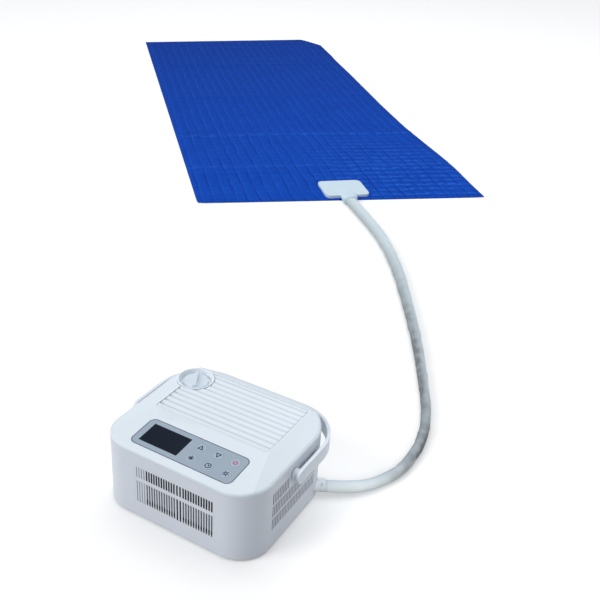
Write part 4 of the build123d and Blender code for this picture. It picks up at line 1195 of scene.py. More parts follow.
@dataclass
class SleevedHose:
    """The hose in its white sleeve, from the unit to the pad."""

    materials: Materials
    diameter: float = 0.022
    half_height: float = 0.0108
    sides: int = 40
    ring_step: float = 0.0035
    curve_steps: int = 40
    width_smoothing: int = 15
    crease_depth: float = 0.00045
    crease_seed: int = 11
    crease_waves: int = 14
    crease_lengths: Pair = (0.018, 0.09)
    crease_turns: int = 2
    calm: float = 0.55
    calm_length: float = 0.37
    calm_start: float = 0.8
    plain_ends: Pair = (0.05, 0.03)
    floor_gap: float = 0.0002
    most_sunk: float = 0.0019

    def build(self) -> None:
        line = self._centreline()
        length = float(np.linalg.norm(np.diff(line, axis=0), axis=1).sum())
        sleeve = self._sleeve(line, length)
        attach(sleeve, "unit")
        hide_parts("hose")
        LOG.info("sleeved hose %.3f m", length)

    def _centreline(self) -> np.ndarray:
        """Reads points along the route's smooth curve.

        Returns:
            Points along the hose, in metres.
        """
        curve = bpy.data.curves.new("hose_line", "CURVE")
        curve.dimensions = "3D"
        curve.resolution_u = self.curve_steps
        spline = curve.splines.new("NURBS")
        spline.points.add(len(HOSE_ROUTE) - 1)
        for point, place in zip(spline.points, HOSE_ROUTE):
            point.co = (*place, 1.0)
        spline.order_u = 3
        spline.use_endpoint_u = True
        holder = bpy.data.objects.new("hose_line", curve)
        bpy.context.scene.collection.objects.link(holder)
        bpy.context.view_layer.update()
        mesh = bpy.data.meshes.new_from_object(holder)
        line = np.array([vertex.co for vertex in mesh.vertices])
        bpy.data.meshes.remove(mesh)
        bpy.data.objects.remove(holder)
        return line

    def _even(self, line: np.ndarray) -> tuple[np.ndarray, np.ndarray]:
        """Spaces the rings evenly along the centreline.

        Args:
            line: Points along the hose.

        Returns:
            Evenly spaced points and their distances from the start.
        """
        steps = np.linalg.norm(np.diff(line, axis=0), axis=1)
        reach = np.concatenate([[0.0], np.cumsum(steps)])
        count = int(reach[-1] / self.ring_step)
        along = np.linspace(0.0, reach[-1], count)
        even = np.stack([np.interp(along, reach, line[:, axis]) for axis in range(3)], axis=1)
        return even, along

    def _half_widths(self, along: np.ndarray) -> np.ndarray:
        """Gives half the sleeve's width, tighter at the unit and wider where it lies slack towards the pad.

        Args:
            along: Distances from the unit.

        Returns:
            Half a width for each distance.
        """
        places, widths = zip(*HOSE_WIDTHS)
        return smoothed(np.interp(along, places, widths), self.width_smoothing)

    def _sleeve(self, line: np.ndarray, length: float) -> bpy.types.Object:
        """Builds the sleeve with soft creases, resting on the floor.

        Args:
            line: Points along the hose.
            length: The hose's length.

        Returns:
            The sleeve's mesh object.
        """
        centre, along = self._even(line)
        ahead = np.gradient(centre, axis=0)
        ahead /= np.linalg.norm(ahead, axis=1)[:, None]
        side = np.cross(ahead, (0.0, 0.0, 1.0))
        side /= np.linalg.norm(side, axis=1)[:, None]
        above = np.cross(side, ahead)
        angle = np.linspace(-0.5 * math.pi, 1.5 * math.pi, self.sides, endpoint=False)
        crease = self._creases(along[:, None], angle[None, :], length)
        half = self._half_widths(along)
        tall = np.minimum(half, self.half_height)
        lowest = np.maximum(tall + self.floor_gap, centre[:, 2] - self.most_sunk)
        centre[:, 2] = np.minimum(centre[:, 2], lowest)
        wide = (half[:, None] + crease) * np.cos(angle)
        high = (tall[:, None] + crease) * np.sin(angle)
        ring = centre[:, None, :] + side[:, None, :] * wide[..., None] + above[:, None, :] * high[..., None]
        ring[..., 2] = np.maximum(ring[..., 2], self.floor_gap)
        points = ring.reshape(-1, 3)
        sleeve = mesh_piece("hose_sleeve", points, tube_faces(len(centre), self.sides))
        places = np.stack([np.repeat(along, self.sides), np.tile(angle * self.diameter / 2, len(centre))], axis=1)
        map_cloth(sleeve, places)
        sleeve.data.materials.append(self.materials.of(HOSE_CLOTH))
        return sleeve

    def _creases(self, along: np.ndarray, angle: np.ndarray, length: float) -> np.ndarray:
        """Makes soft slanting creases that grow where the hose bends.

        Args:
            along: Distances from the unit.
            angle: Angles round the hose.
            length: The hose's length.

        Returns:
            How far each point stands off the plain sleeve.
        """
        rng = np.random.default_rng(self.crease_seed)
        height = np.zeros(np.broadcast(along, angle).shape)
        for _ in range(self.crease_waves):
            wave = rng.uniform(*self.crease_lengths)
            turns = int(rng.integers(-self.crease_turns, self.crease_turns + 1))
            phase = rng.uniform(0.0, 2.0 * math.pi)
            height += np.sin(2.0 * math.pi * along / wave + turns * angle + phase) / self.crease_waves ** 0.5
        swing = np.sin(2.0 * math.pi * along / self.calm_length + self.calm_start) ** 2
        lively = self.calm + (1.0 - self.calm) * swing
        start, end = self.plain_ends
        ends = np.clip(along / start, 0.0, 1.0) * np.clip((length - along) / end, 0.0, 1.0)
        return self.crease_depth * lively * ends * height


HOSE_CLOTH = SleeveCloth("white hose sleeve", (0.80, 0.90, 0.96), (0.75, 0.85, 0.92), threads=900.0,
                         thread_depth=0.00012, slant=0.6, sheen=0.05, gloss=0.1)


# The middle of the pad's near edge, and how far the pad is turned on the floor.
PAD_EDGE = (-0.3828, 1.1824)
PAD_TURN = math.radians(42.7)


def on_pad(side: np.ndarray, along: np.ndarray, height: np.ndarray) -> np.ndarray:
    """Turns places on the pad into the object's own frame.

    Args:
        side: Distances to the right of the pad's middle line.
        along: Distances from its near edge.
        height: Heights over the floor.

    Returns:
        Points in metres.
    """
    x = PAD_EDGE[0] + side * math.cos(PAD_TURN) - along * math.sin(PAD_TURN)
    y = PAD_EDGE[1] + side * math.sin(PAD_TURN) + along * math.cos(PAD_TURN)
    return np.stack(np.broadcast_arrays(x, y, height), axis=-1)


# The pad's right edge: distances from the near edge, with its distance from the middle line there.
PAD_RIGHT_EDGE: tuple[Pair, ...] = (
    (-0.020, 0.4080), (0.070, 0.4090), (0.140, 0.4120), (0.210, 0.4145), (0.280, 0.4140), (0.360, 0.4110),
    (0.440, 0.4070), (0.530, 0.4030), (0.620, 0.3990), (0.710, 0.3985), (0.920, 0.4010), (1.150, 0.4075),
    (1.410, 0.4145), (1.630, 0.4175), (1.770, 0.4230), (1.920, 0.4245), (2.100, 0.4260),
)


@dataclass
class QuiltedPad:
    """The blue pad: a quilted field inside a flat hem, lying on the floor.

    The seams across are pulled in at the near right: they fade out towards their end along the pad, and rise from
    the left, given as shares of the width. The near and the far edge give their place along the middle line and
    their slope. The far right corner is bent in, from a side and from a share of the length on. A fold gives its
    place from the near edge, its height and its width. The plate is where the connector sits and the pad lies flat.
    """

    materials: Materials
    width: float = 0.820
    length: float = 2.070
    hem: float = 0.014
    channels: int = 25
    rows: int = 60
    across: int = 4
    along: int = 4
    hem_height: float = 0.0028
    seam_height: float = 0.0042
    puff: float = 0.0026
    most_puff: float = 0.0034
    on_seam: float = 0.02
    cross_end: float = 0.62
    cross_fade: float = 0.32
    cross_left: float = 0.46
    cross_rise: float = 0.18
    cross_least: float = 0.10
    drawn_puff: float = 0.6
    drawn_row: float = 0.5
    air: float = 2.6
    frames: int = 12
    underside: float = 0.0004
    near_edge: Pair = (-0.004, -0.052)
    far_edge: Pair = (2.068, 0.040)
    left_side: float = -0.4135
    left_rounding: float = 0.009
    left_rounding_length: float = 0.035
    bend: float = 2.0
    bend_side: float = 0.358
    bend_start: float = 0.75
    folds: tuple[Point, ...] = ((0.230, 0.0028, 0.012), (0.575, 0.0034, 0.014), (1.055, 0.0034, 0.016),
                                (1.560, 0.0030, 0.016))
    fold_wander: float = 0.006
    wave_height: float = 0.0022
    flat_ends: float = 0.06
    flat_sides: float = 0.05
    plate_place: Pair = (0.004, 0.07)
    plate_radius: float = 0.14
    plate_flat: float = 0.6
    plate_squash: float = 0.9

    def build(self) -> None:
        across = self._stations(self.width, self.channels, self.across)
        along = self._stations(self.length, self.rows, self.along)
        places, lengths = np.meshgrid(across, along)
        swell = self._blown(places, lengths)
        inside = self._inside(places, lengths)
        height = self.hem_height + inside * (self.seam_height - self.hem_height + swell)
        pad = self._closed(places, lengths, height)
        rounding = pad.modifiers.new("soft cloth", "SUBSURF")
        rounding.levels = 1
        rounding.render_levels = 1
        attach(pad, "unit")
        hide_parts("pad_top", "pad_bottom")
        LOG.info("quilted pad, %d points", len(pad.data.vertices))

    def _stations(self, size: float, cells: int, steps: int) -> np.ndarray:
        """Spaces the points of one direction, with points on every seam.

        Args:
            size: The pad's size in that direction.
            cells: Quilted cells in that direction.
            steps: Steps in each cell.

        Returns:
            Distances from one edge of the pad.
        """
        field = np.linspace(self.hem, size - self.hem, cells * steps + 1)
        return np.concatenate([[0.0, self.hem * 0.5], field, [size - self.hem * 0.5, size]])

    def _seam_share(self, value: np.ndarray, size: float, cells: int) -> np.ndarray:
        """Tells how near each point is to a seam.

        Args:
            value: Distances from one edge.
            size: The pad's size in that direction.
            cells: Quilted cells in that direction.

        Returns:
            0 on a seam and 1 in the middle of a cell.
        """
        cell = (value - self.hem) / ((size - 2.0 * self.hem) / cells)
        return np.abs(np.sin(math.pi * np.clip(cell, 0.0, cells)))

    def _cross_strength(self, places: np.ndarray, lengths: np.ndarray) -> np.ndarray:
        """Tells how deep the seams across the pad are pulled in, most at the near right.

        Args:
            places: Distances from the left edge.
            lengths: Distances from the near edge.

        Returns:
            A share from 0 to 1.
        """
        near = np.clip((self.cross_end - lengths) / self.cross_fade, 0.0, 1.0)
        right = np.clip((places / self.width - self.cross_left) / self.cross_rise, 0.0, 1.0)
        return self.cross_least + (1.0 - self.cross_least) * near * right

    def _blown(self, places: np.ndarray, lengths: np.ndarray) -> np.ndarray:
        """Blows the flat quilted cloth up by simulation, held along its seams.

        Args:
            places: Distances from the left edge.
            lengths: Distances from the near edge.

        Returns:
            How far the filling lifts each point.
        """
        rows, columns = places.shape
        flat = np.stack([places, lengths, np.zeros_like(places)], axis=-1).reshape(-1, 3)
        field = mesh_piece("pad_field", flat, grid_faces(rows, columns))
        self._hold_seams(field, places, lengths)
        cloth = field.modifiers.new("filling", "CLOTH")
        cloth.settings.vertex_group_mass = "seams"
        cloth.settings.mass = 0.3
        cloth.settings.quality = 3
        cloth.settings.use_pressure = True
        cloth.settings.uniform_pressure_force = self.air
        cloth.settings.shrink_min = -0.03
        cloth.settings.tension_stiffness = 15.0
        cloth.settings.compression_stiffness = 15.0
        cloth.settings.shear_stiffness = 5.0
        cloth.settings.bending_stiffness = 0.5
        cloth.settings.effector_weights.gravity = 0.0
        cloth.point_cache.frame_start = 1
        cloth.point_cache.frame_end = self.frames
        for number in range(1, self.frames + 1):
            bpy.context.scene.frame_set(number)
        blown = field.evaluated_get(bpy.context.evaluated_depsgraph_get())
        spots = np.zeros(len(flat) * 3, dtype=np.float32)
        blown.data.vertices.foreach_get("co", spots)
        bpy.context.scene.frame_set(1)
        bpy.data.objects.remove(field)
        lift = np.clip(spots.reshape(rows, columns, 3)[..., 2], 0.0, self.most_puff)
        LOG.info("pad filled to %.1f mm", lift.max() / MM)
        return lift

    def _hold_seams(self, field: bpy.types.Object, places: np.ndarray, lengths: np.ndarray) -> None:
        """Pins the flat cloth along its seams, loosely where the seams across are faint.

        Args:
            field: The flat cloth.
            places: Distances from the left edge.
            lengths: Distances from the near edge.
        """
        group = field.vertex_groups.new(name="seams")
        channel = self._seam_share(places, self.width, self.channels)
        row = self._seam_share(lengths, self.length, self.rows)
        strength = self._cross_strength(places, lengths) ** 2
        hold = np.where(row < self.on_seam, strength, 0.0)
        hold = np.where((channel < self.on_seam) | (self._inside(places, lengths) == 0.0), 1.0, hold)
        for number in np.flatnonzero(hold):
            group.add([int(number)], float(hold.flat[number]), "REPLACE")

    def _inside(self, places: np.ndarray, lengths: np.ndarray) -> np.ndarray:
        """Tells which points lie in the quilted field.

        Args:
            places: Distances from the left edge.
            lengths: Distances from the near edge.

        Returns:
            1 inside the hem's seam and 0 on the hem.
        """
        hem = self.hem * 0.99
        field = (places > hem) & (places < self.width - hem) & (lengths > hem) & (lengths < self.length - hem)
        return field.astype(float)

    def _laid(self, places: np.ndarray, lengths: np.ndarray, height: np.ndarray) -> np.ndarray:
        """Lays points of the flat pad on the floor as the real one lies.

        Args:
            places: Distances from the left edge.
            lengths: Distances from the near edge.
            height: Heights over the floor.

        Returns:
            Points in the object's own frame.
        """
        share = places / self.width
        reach = lengths / self.length
        near, far = (place + slope * (share - 0.5) * self.width for place, slope in (self.near_edge, self.far_edge))
        along = near + reach * (far - near)
        right = np.interp(along, *zip(*PAD_RIGHT_EDGE))
        rounding = np.clip(1.0 - along / self.left_rounding_length, 0.0, 1.0) ** 2
        left = self.left_side + self.left_rounding * rounding
        side = left + share * (right - left)
        far_part = np.clip((reach - self.bend_start) / (1.0 - self.bend_start), 0.0, 1.0)
        along = along - self.bend * np.clip(side - self.bend_side, 0.0, None) * far_part ** 2
        return on_pad(side, along, height + self._folds(side, along))

    def _folds(self, side: np.ndarray, along: np.ndarray) -> np.ndarray:
        """Raises the soft fold lines and slow waves that packing left in the pad.

        Args:
            side: Distances from the pad's middle line.
            along: Distances from the near edge.

        Returns:
            Heights to add.
        """
        lift = np.zeros(np.broadcast(side, along).shape)
        for place, height, width in self.folds:
            middle = place + self.fold_wander * np.sin(side * 9.0 + place * 7.0)
            lift += height * np.exp(-(((along - middle) / width) ** 2))
        # Slow slanting waves, whose counts were picked so that they don't fall in step.
        slow = 0.5 + 0.5 * np.sin(along * 7.3 + side * 5.1 + 1.0) * np.sin(side * 8.7 - along * 2.2)
        border = np.clip(np.minimum(along, self.length - along) / self.flat_ends, 0.0, 1.0)
        border = border * np.clip((self.width / 2.0 - np.abs(side)) / self.flat_sides, 0.0, 1.0)
        right, ahead = self.plate_place
        away = np.hypot(side - right, (along - ahead) * self.plate_squash)
        plate = np.clip(away / self.plate_radius - self.plate_flat, 0.0, 1.0)
        return (lift + self.wave_height * slow) * border * plate

    def _closed(self, places: np.ndarray, lengths: np.ndarray, height: np.ndarray) -> bpy.types.Object:
        """Joins top and underside into one closed pad.

        Args:
            places: Distances from the left edge.
            lengths: Distances from the near edge.
            height: Heights of the top.

        Returns:
            The pad's mesh object.
        """
        rows, columns = places.shape
        top = self._laid(places, lengths, height).reshape(-1, 3)
        ring = list(range(columns)) + [row * columns + columns - 1 for row in range(1, rows)]
        ring += [(rows - 1) * columns + column for column in range(columns - 2, -1, -1)]
        ring += [row * columns for row in range(rows - 2, 0, -1)]
        edge = top[ring]
        edge[:, 2] = self.underside
        below = {corner: len(top) + number for number, corner in enumerate(ring)}
        faces = grid_faces(rows, columns)
        for start, end in zip(ring, ring[1:] + ring[:1]):
            faces.append((start, below[start], below[end], end))
        lefts = [below[row * columns] for row in range(rows)]
        rights = [below[row * columns + columns - 1] for row in range(rows)]
        for row in range(1, rows - 2):
            faces.append((lefts[row], lefts[row + 1], rights[row + 1], rights[row]))
        near_row = [below[column] for column in range(columns)]
        far_row = [below[(rows - 1) * columns + column] for column in range(columns)]
        faces.append([lefts[1], rights[1], *near_row[::-1]])
        faces.append([*far_row, rights[-2], lefts[-2]])
        pad = mesh_piece("quilted_pad", np.concatenate([top, edge]), faces)
        flat = np.stack([places.ravel() - self.hem, lengths.ravel() - self.hem], axis=1)
        map_cloth(pad, np.concatenate([flat, flat[ring]]))
        pad.data.materials.append(self.materials.of(self._cloth()))
        return pad

    def _cloth(self) -> QuiltedCloth:
        """Makes the pad's blue cloth, with its painted seam shade at the channels' pitch.

        Returns:
            The cloth's recipe.
        """
        pitch = (self.width - 2.0 * self.hem) / self.channels
        row = (self.length - 2.0 * self.hem) / self.rows
        near, far = (tuple(map(float, on_pad(0.0, along, 0.0))) for along in (0.0, self.length))
        return QuiltedCloth("royal blue cloth", (0.0070, 0.070, 0.47), (0.0060, 0.060, 0.42), threads=700.0,
                            thread_depth=0.0001, roughness=0.9, sheen=0.02, gloss=0.03, channel=pitch, row=row,
                            width=self.width, fade=(near, far, (0.0080, 0.044, 0.30)))


@dataclass
class ConnectorNeck:
    """The soft neck that leads the hose up on to the connector's plate."""

    materials: Materials
    sides: int = 56
    rings: int = 60
    roundness: float = 2.5
    smoothing: int = 5
    along: tuple[float, ...] = (-0.0375, -0.030, -0.020, -0.008, 0.004, 0.015, 0.030, 0.045, 0.057)
    middle: tuple[float, ...] = (0.0064, 0.0070, 0.0086, 0.0106, 0.0118, 0.0120, 0.0120, 0.0120, 0.0120)
    half_width: tuple[float, ...] = (0.0184, 0.0192, 0.0216, 0.0230, 0.0236, 0.0238, 0.0228, 0.0205, 0.0165)
    bottom: tuple[float, ...] = (0.0004, 0.0004, 0.0006, 0.0010, 0.0018, 0.0060, 0.0080, 0.0090, 0.0095)
    top: tuple[float, ...] = (0.0242, 0.0236, 0.0216, 0.0190, 0.0170, 0.0157, 0.0145, 0.0135, 0.0124)

    def build(self) -> None:
        """Makes the neck in place of the plain collar."""
        along = np.linspace(self.along[0], self.along[-1], self.rings)
        middle, half, low, high = (self._smooth(along, row)
                                   for row in (self.middle, self.half_width, self.bottom, self.top))
        angle = np.linspace(0.0, 2.0 * math.pi, self.sides, endpoint=False)
        power = 2.0 / self.roundness
        wide = np.sign(np.cos(angle)) * np.abs(np.cos(angle)) ** power
        tall = np.sign(np.sin(angle)) * np.abs(np.sin(angle)) ** power
        side = middle[:, None] + half[:, None] * wide
        height = (low + high)[:, None] / 2.0 + (high - low)[:, None] / 2.0 * tall
        points = on_pad(side, along[:, None], height).reshape(-1, 3)
        neck = mesh_piece("connector_neck", points, tube_faces(self.rings, self.sides))
        neck.data.materials.append(self.materials.of(Finish.CONNECTOR))
        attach(neck, "unit")
        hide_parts("hose_collar")
        LOG.info("connector neck ready")

    def _smooth(self, along: np.ndarray, row: Sequence[float]) -> np.ndarray:
        """Runs a smooth line through one measure of the neck.

        Args:
            along: Where the rings are.
            row: The measure at each named section.

        Returns:
            The measure at each ring.
        """
        return smoothed(np.interp(along, self.along, row), self.smoothing)


# Degrees between the points round a corner, and between the two points where a corner meets a straight side.
PATH_STEP = 6.0
PATH_LEAN = 0.01


def rounded_path(left: float, right: float, front: float, back: float, radii: Pair,
                 first: float, last: float) -> tuple[Pair, ...]:
    """Runs round part of a rounded rectangle.

    Args:
        left: Its left side.
        right: Its right side.
        front: Its front side.
        back: Its back side.
        radii: The radius of its front corners and of its back corners.
        first: Direction of the path's first point, in degrees from the right.
        last: Direction of its last point, further round to the left.

    Returns:
        Places along the path.
    """
    points = []
    for turn in np.arange(first, last + PATH_LEAN, PATH_STEP):
        for lean in (-PATH_LEAN, PATH_LEAN):
            angle = math.radians(turn + lean)
            radius = radii[1] if math.sin(angle) > 0 else radii[0]
            x = right - radius if math.cos(angle) > 0 else left + radius
            y = back - radius if math.sin(angle) > 0 else front + radius
            points.append((x + radius * math.cos(angle), y + radius * math.sin(angle)))
    return tuple(points)


@dataclass(frozen=True)
class Ridge:
    """One moulded line on the cover, rounded over and fading at its ends."""

    path: tuple[Pair, ...]
    width: float
    height: float
    fade: float
    steps: int = 36
    sides: int = 8
    root: float = 0.0003
    tip: float = 0.004

    def mesh(self, ground: bpy.types.Object) -> tuple[np.ndarray, list[tuple[int, ...]]]:
        """Lays the line on the piece that carries it.

        Args:
            ground: The piece under the line.

        Returns:
            Its points and its faces.
        """
        corners = np.array(self.path)
        reach = np.concatenate([[0.0], np.cumsum(np.linalg.norm(np.diff(corners, axis=0), axis=1))])
        along = np.linspace(0.0, reach[-1], self.steps + 1)
        middle = np.stack([np.interp(along, reach, corners[:, axis]) for axis in range(2)], axis=1)
        ahead = np.gradient(middle, axis=0)
        ahead /= np.linalg.norm(ahead, axis=1)[:, None]
        across = np.stack([-ahead[:, 1], ahead[:, 0]], axis=1)
        share = along / reach[-1]
        full = np.clip(np.minimum(share + self.tip, 1.0 + self.tip - share) / self.fade, 0.0, 1.0) ** 0.5
        points = []
        for number in range(self.steps + 1):
            for turn in range(self.sides + 1):
                angle = math.pi * turn / self.sides
                spot = middle[number] + across[number] * (math.cos(angle) * self.width / 2.0 * full[number])
                base = ground.ray_cast(Vector((*spot, 1.0)), Vector((0.0, 0.0, -1.0)))[1].z
                points.append((*spot, base - self.root + (self.height * full[number] + self.root) * math.sin(angle)))
        return np.array(points), tube_faces(self.steps + 1, self.sides + 1)


@dataclass
class CoverTrim:
    """The small moulded marks of the cover that its plain solid leaves out, and dark strips of painted shade along
    its seams.

    A box is its left, right, front and back, and a sweep is the part of its round that a seam follows. The faint
    ribs start and end at a first place plus a step for each further rib.
    """

    materials: Materials
    rib_ends: tuple[float, ...] = (0.0255, 0.0146, 0.0024, -0.0091)
    rib_end_sides: Pair = (-0.0988, -0.0938)
    rib_end_slant: float = 0.0006
    faint_ribs: tuple[float, ...] = (-0.0250, -0.0292, -0.0334, -0.0376)
    faint_starts: Pair = (-0.094, 0.004)
    faint_ends: Pair = (-0.018, -0.012)
    louvre_box: tuple[float, float, float, float] = (-0.1007, 0.0977, -0.0217, 0.0978)
    louvre_corner: float = 0.0045
    seam_gap: float = 0.001
    dish_place: Pair = (-0.093, 0.0715)
    dish_radius: float = 0.0305
    rim_box: tuple[float, float, float, float] = (-0.1316, 0.1316, -0.1151, 0.1151)
    rim_corners: Pair = (0.0466, 0.0606)
    rim_sweep: Pair = (-60.0, 240.0)
    right_sweep: Pair = (-84.0, 90.0)
    left_sweep: Pair = (180.0, 264.0)

    def build(self) -> None:
        """Makes the rib ends, the faint front ribs and the painted shade along the seams."""
        (left, right), slant = self.rib_end_sides, self.rib_end_slant
        ends = [Ridge(((left, y - slant), (right, y + slant)), width=0.0022, height=0.0009, fade=0.4)
                for y in self.rib_ends]
        (start, later), (end, earlier) = self.faint_starts, self.faint_ends
        faint = [Ridge(((start + later * number, y), (end + earlier * number, y)), width=0.0015, height=0.0004,
                       fade=0.5) for number, y in enumerate(self.faint_ribs)]
        rim = Ridge(rounded_path(*self.rim_box, self.rim_corners, *self.rim_sweep), width=0.0008, height=0.00006,
                    fade=0.05, steps=260, sides=4)
        self._lay("louvre_rib_ends", ends, "louvre_panel", Finish.LOUVRE)
        self._lay("cover_faint_ribs", faint, "top_cover", Finish.COVER)
        self._lay("louvre_seam_shade", self._louvre_seam_shades(), "top_cover", Finish.SEAM)
        self._lay("cover_rim_seam_shade", [rim], "top_cover", Finish.PALE_SEAM_SHADE)
        LOG.info("cover trim ready")

    def _louvre_seam_shades(self) -> list[Ridge]:
        """Draws painted shade along the seam down the louvre's right and back, and along the hooked one down its
        left.

        Returns:
            The two lines.
        """
        left, _, _, back = self.louvre_box
        corners = (self.louvre_corner, self.louvre_corner)
        x, y = self.dish_place
        meets_back = x + math.sqrt(self.dish_radius ** 2 - (back - y) ** 2) + self.seam_gap
        meets_left = y - math.sqrt(self.dish_radius ** 2 - (left - x) ** 2) - self.seam_gap
        round_right = rounded_path(*self.louvre_box, corners, *self.right_sweep)
        round_left = rounded_path(*self.louvre_box, corners, *self.left_sweep)
        return [Ridge((*round_right, (meets_back, back)), width=0.0009, height=0.00008, fade=0.12, steps=150,
                      sides=4),
                Ridge(((left, meets_left), *round_left), width=0.0011, height=0.00008, fade=0.03, steps=70,
                      sides=4)]

    def _lay(self, name: str, ridges: Sequence[Ridge], ground: str, finish: Finish) -> None:
        """Lays lines of one finish as one piece.

        Args:
            name: The piece's name.
            ridges: The lines.
            ground: The CAD node that carries them.
            finish: Their finish.
        """
        points, faces, count = [], [], 0
        for ridge in ridges:
            spots, sides = ridge.mesh(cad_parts[ground])
            points.append(spots)
            faces += [tuple(corner + count for corner in face) for face in sides]
            count += len(spots)
        piece = mesh_piece(name, np.concatenate(points), faces)
        piece.data.materials.append(self.materials.of(finish))
        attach(piece, "unit")


class Icon(Enum):
    """The plain signs printed on the keys."""

    UP = "key_up"
    DOWN = "key_down"
    POWER = "key_power"
    MODE = "key_mode"
    TIMER = "key_timer"
    LIGHT = "key_light"


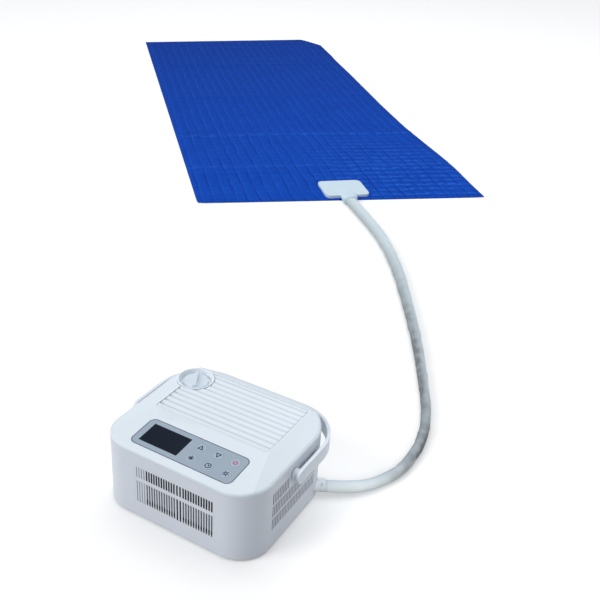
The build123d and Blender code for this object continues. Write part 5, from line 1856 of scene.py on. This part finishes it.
@dataclass
class KeyPrints:
    """The signs and rings printed on the six keys.

    The ring's line is a share of a sign's stroke, and the sharpest bend limits how far a corner reaches out.
    """

    materials: Materials
    stroke: float = 0.00145
    ring_stroke: float = 0.45
    film: float = 0.00006
    size: float = 0.0060
    ring: float = 0.0066
    arc_points: int = 40
    sharpest: float = 0.45
    same_face: float = 0.00001

    def build(self) -> None:
        """Prints one sign on each key."""
        for icon in Icon:
            place = self._place(icon)
            for number, (line, closed, finish) in enumerate(self._lines(icon)):
                self._print(f"{icon.value}_sign_{number}", line, closed, finish, place, icon.value)
        LOG.info("key prints ready")

    def _place(self, icon: Icon) -> Matrix:
        """Finds the middle of a key's top face and its slope.

        Args:
            icon: The key's sign.

        Returns:
            A matrix from the key's flat face to the object's frame.
        """
        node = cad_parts[icon.value]
        low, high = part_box(icon.value)
        # The largest face that looks up is the key's top.
        face = max(node.data.polygons, key=lambda polygon: polygon.normal.z * polygon.area)
        normal = face.normal.normalized()
        side = Vector((1.0, 0.0, 0.0))
        up = normal.cross(side).normalized()
        tops = [vertex.co for vertex in node.data.vertices if (vertex.co - face.center).dot(normal) > -self.same_face]
        middle = sum(tops, Vector()) / len(tops)
        middle.x = (low.x + high.x) / 2.0
        turn = Matrix((side, up, normal)).transposed().to_4x4()
        return Matrix.Translation(middle) @ turn

    def _circle(self, radius: float, start: float = 0.0, end: float = 360.0) -> np.ndarray:
        """Draws an arc.

        Args:
            radius: The arc's radius.
            start: Where it starts, in degrees.
            end: Where it ends, in degrees.

        Returns:
            Points along the arc.
        """
        angle = np.radians(np.linspace(start, end, self.arc_points))
        return radius * np.stack([np.cos(angle), np.sin(angle)], axis=1)

    def _lines(self, icon: Icon) -> list[tuple[np.ndarray, bool, Finish]]:
        """Lists the strokes of a sign.

        Args:
            icon: The sign.

        Returns:
            Points, whether the stroke is closed, and its ink.
        """
        size = self.size
        ink = Finish.INK
        lines = [(self._circle(self.ring)[:-1], True, Finish.PALE_INK)]
        if icon is Icon.UP:
            lines.append((np.array([(-0.62, -0.5), (0.62, -0.5), (0.0, 0.62)]) * size, True, ink))
        if icon is Icon.DOWN:
            lines.append((np.array([(-0.62, 0.5), (0.62, 0.5), (0.0, -0.62)]) * size, True, ink))
        if icon is Icon.POWER:
            lines.append((self._circle(0.48 * size, 130.0, 410.0), False, Finish.RED_INK))
            lines.append((np.array([(0.0, 0.10), (0.0, 0.66)]) * size, False, Finish.RED_INK))
        if icon is Icon.MODE:
            arm = np.array([(-0.80, 0.0), (0.80, 0.0)]) * size
            for turn in np.radians((30.0, 90.0, 150.0)):
                spin = np.array([(math.cos(turn), math.sin(turn)), (-math.sin(turn), math.cos(turn))])
                lines.append((arm @ spin, False, ink))
        if icon is Icon.TIMER:
            lines.append((self._circle(0.74 * size)[:-1], True, ink))
            lines.append((np.array([(0.0, 0.42), (0.0, 0.0), (0.32, 0.0)]) * size, False, ink))
        if icon is Icon.LIGHT:
            lines.append((self._circle(0.36 * size)[:-1], True, ink))
            for angle in range(0, 360, 60):
                way = np.array([math.cos(math.radians(angle)), math.sin(math.radians(angle))])
                lines.append((np.stack([way * 0.6 * size, way * 0.9 * size]), False, ink))
        return lines

    def _print(self, name: str, line: np.ndarray, closed: bool, finish: Finish, place: Matrix, body: str) -> None:
        """Prints one stroke as a thin film.

        Args:
            name: The piece's name.
            line: Points along the stroke.
            closed: Whether it ends where it starts.
            finish: Its ink.
            place: The key's face.
            body: The key's body.
        """
        width = self.stroke * (self.ring_stroke if finish is Finish.PALE_INK else 1.0)
        before = np.roll(line, 1, axis=0)
        after = np.roll(line, -1, axis=0)
        if not closed:
            before[0] = line[0] * 2 - line[1]
            after[-1] = line[-1] * 2 - line[-2]
        first = (line - before) / np.linalg.norm(line - before, axis=1)[:, None]
        second = (after - line) / np.linalg.norm(after - line, axis=1)[:, None]
        mitre = first + second
        mitre /= np.linalg.norm(mitre, axis=1)[:, None]
        normal = np.stack([-mitre[:, 1], mitre[:, 0]], axis=1)
        widen = 1.0 / np.clip((mitre * first).sum(axis=1), self.sharpest, 1.0)
        offset = normal * (widen * width / 2.0)[:, None]
        count = len(line)
        flat = np.concatenate([line - offset, line + offset])
        low = np.concatenate([flat, np.full((2 * count, 1), 0.0)], axis=1)
        high = np.concatenate([flat, np.full((2 * count, 1), self.film)], axis=1)
        points = np.concatenate([low, high])
        faces = []
        for start in range(count if closed else count - 1):
            end = (start + 1) % count
            inner, outer, up = (start, end), (start + count, end + count), 2 * count
            faces.append((inner[0] + up, inner[1] + up, outer[1] + up, outer[0] + up))
            faces.append((inner[0], inner[1], inner[1] + up, inner[0] + up))
            faces.append((outer[1], outer[0], outer[0] + up, outer[1] + up))
            faces.append((inner[1], inner[0], outer[0], outer[1]))
        if not closed:
            up = 2 * count
            faces.append((0, up, up + count, count))
            faces.append((count - 1, 2 * count - 1, up + 2 * count - 1, up + count - 1))
        piece = mesh_piece(name, points, faces, smooth=False)
        piece.data.transform(place)
        piece.data.materials.append(self.materials.of(finish))
        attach(piece, body)


@dataclass
class ControlUnit:
    """The unit's CAD pieces in their finishes."""

    materials: Materials

    def build(self) -> None:
        """Puts a finish on every CAD node."""
        for finish, nodes in CAD_FINISHES.items():
            for node in nodes:
                self.materials.dress_node(node, finish)
        LOG.info("control unit dressed")


def main() -> None:
    """Builds the studio and every dressed piece."""
    logging.basicConfig(level=logging.INFO, format="%(name)s: %(message)s")
    materials = Materials()
    Studio().build()
    SleevedHose(materials).build()
    QuiltedPad(materials).build()
    ConnectorNeck(materials).build()
    ControlUnit(materials).build()
    CoverTrim(materials).build()
    KeyPrints(materials).build()


if __name__ == "__main__":
    main()
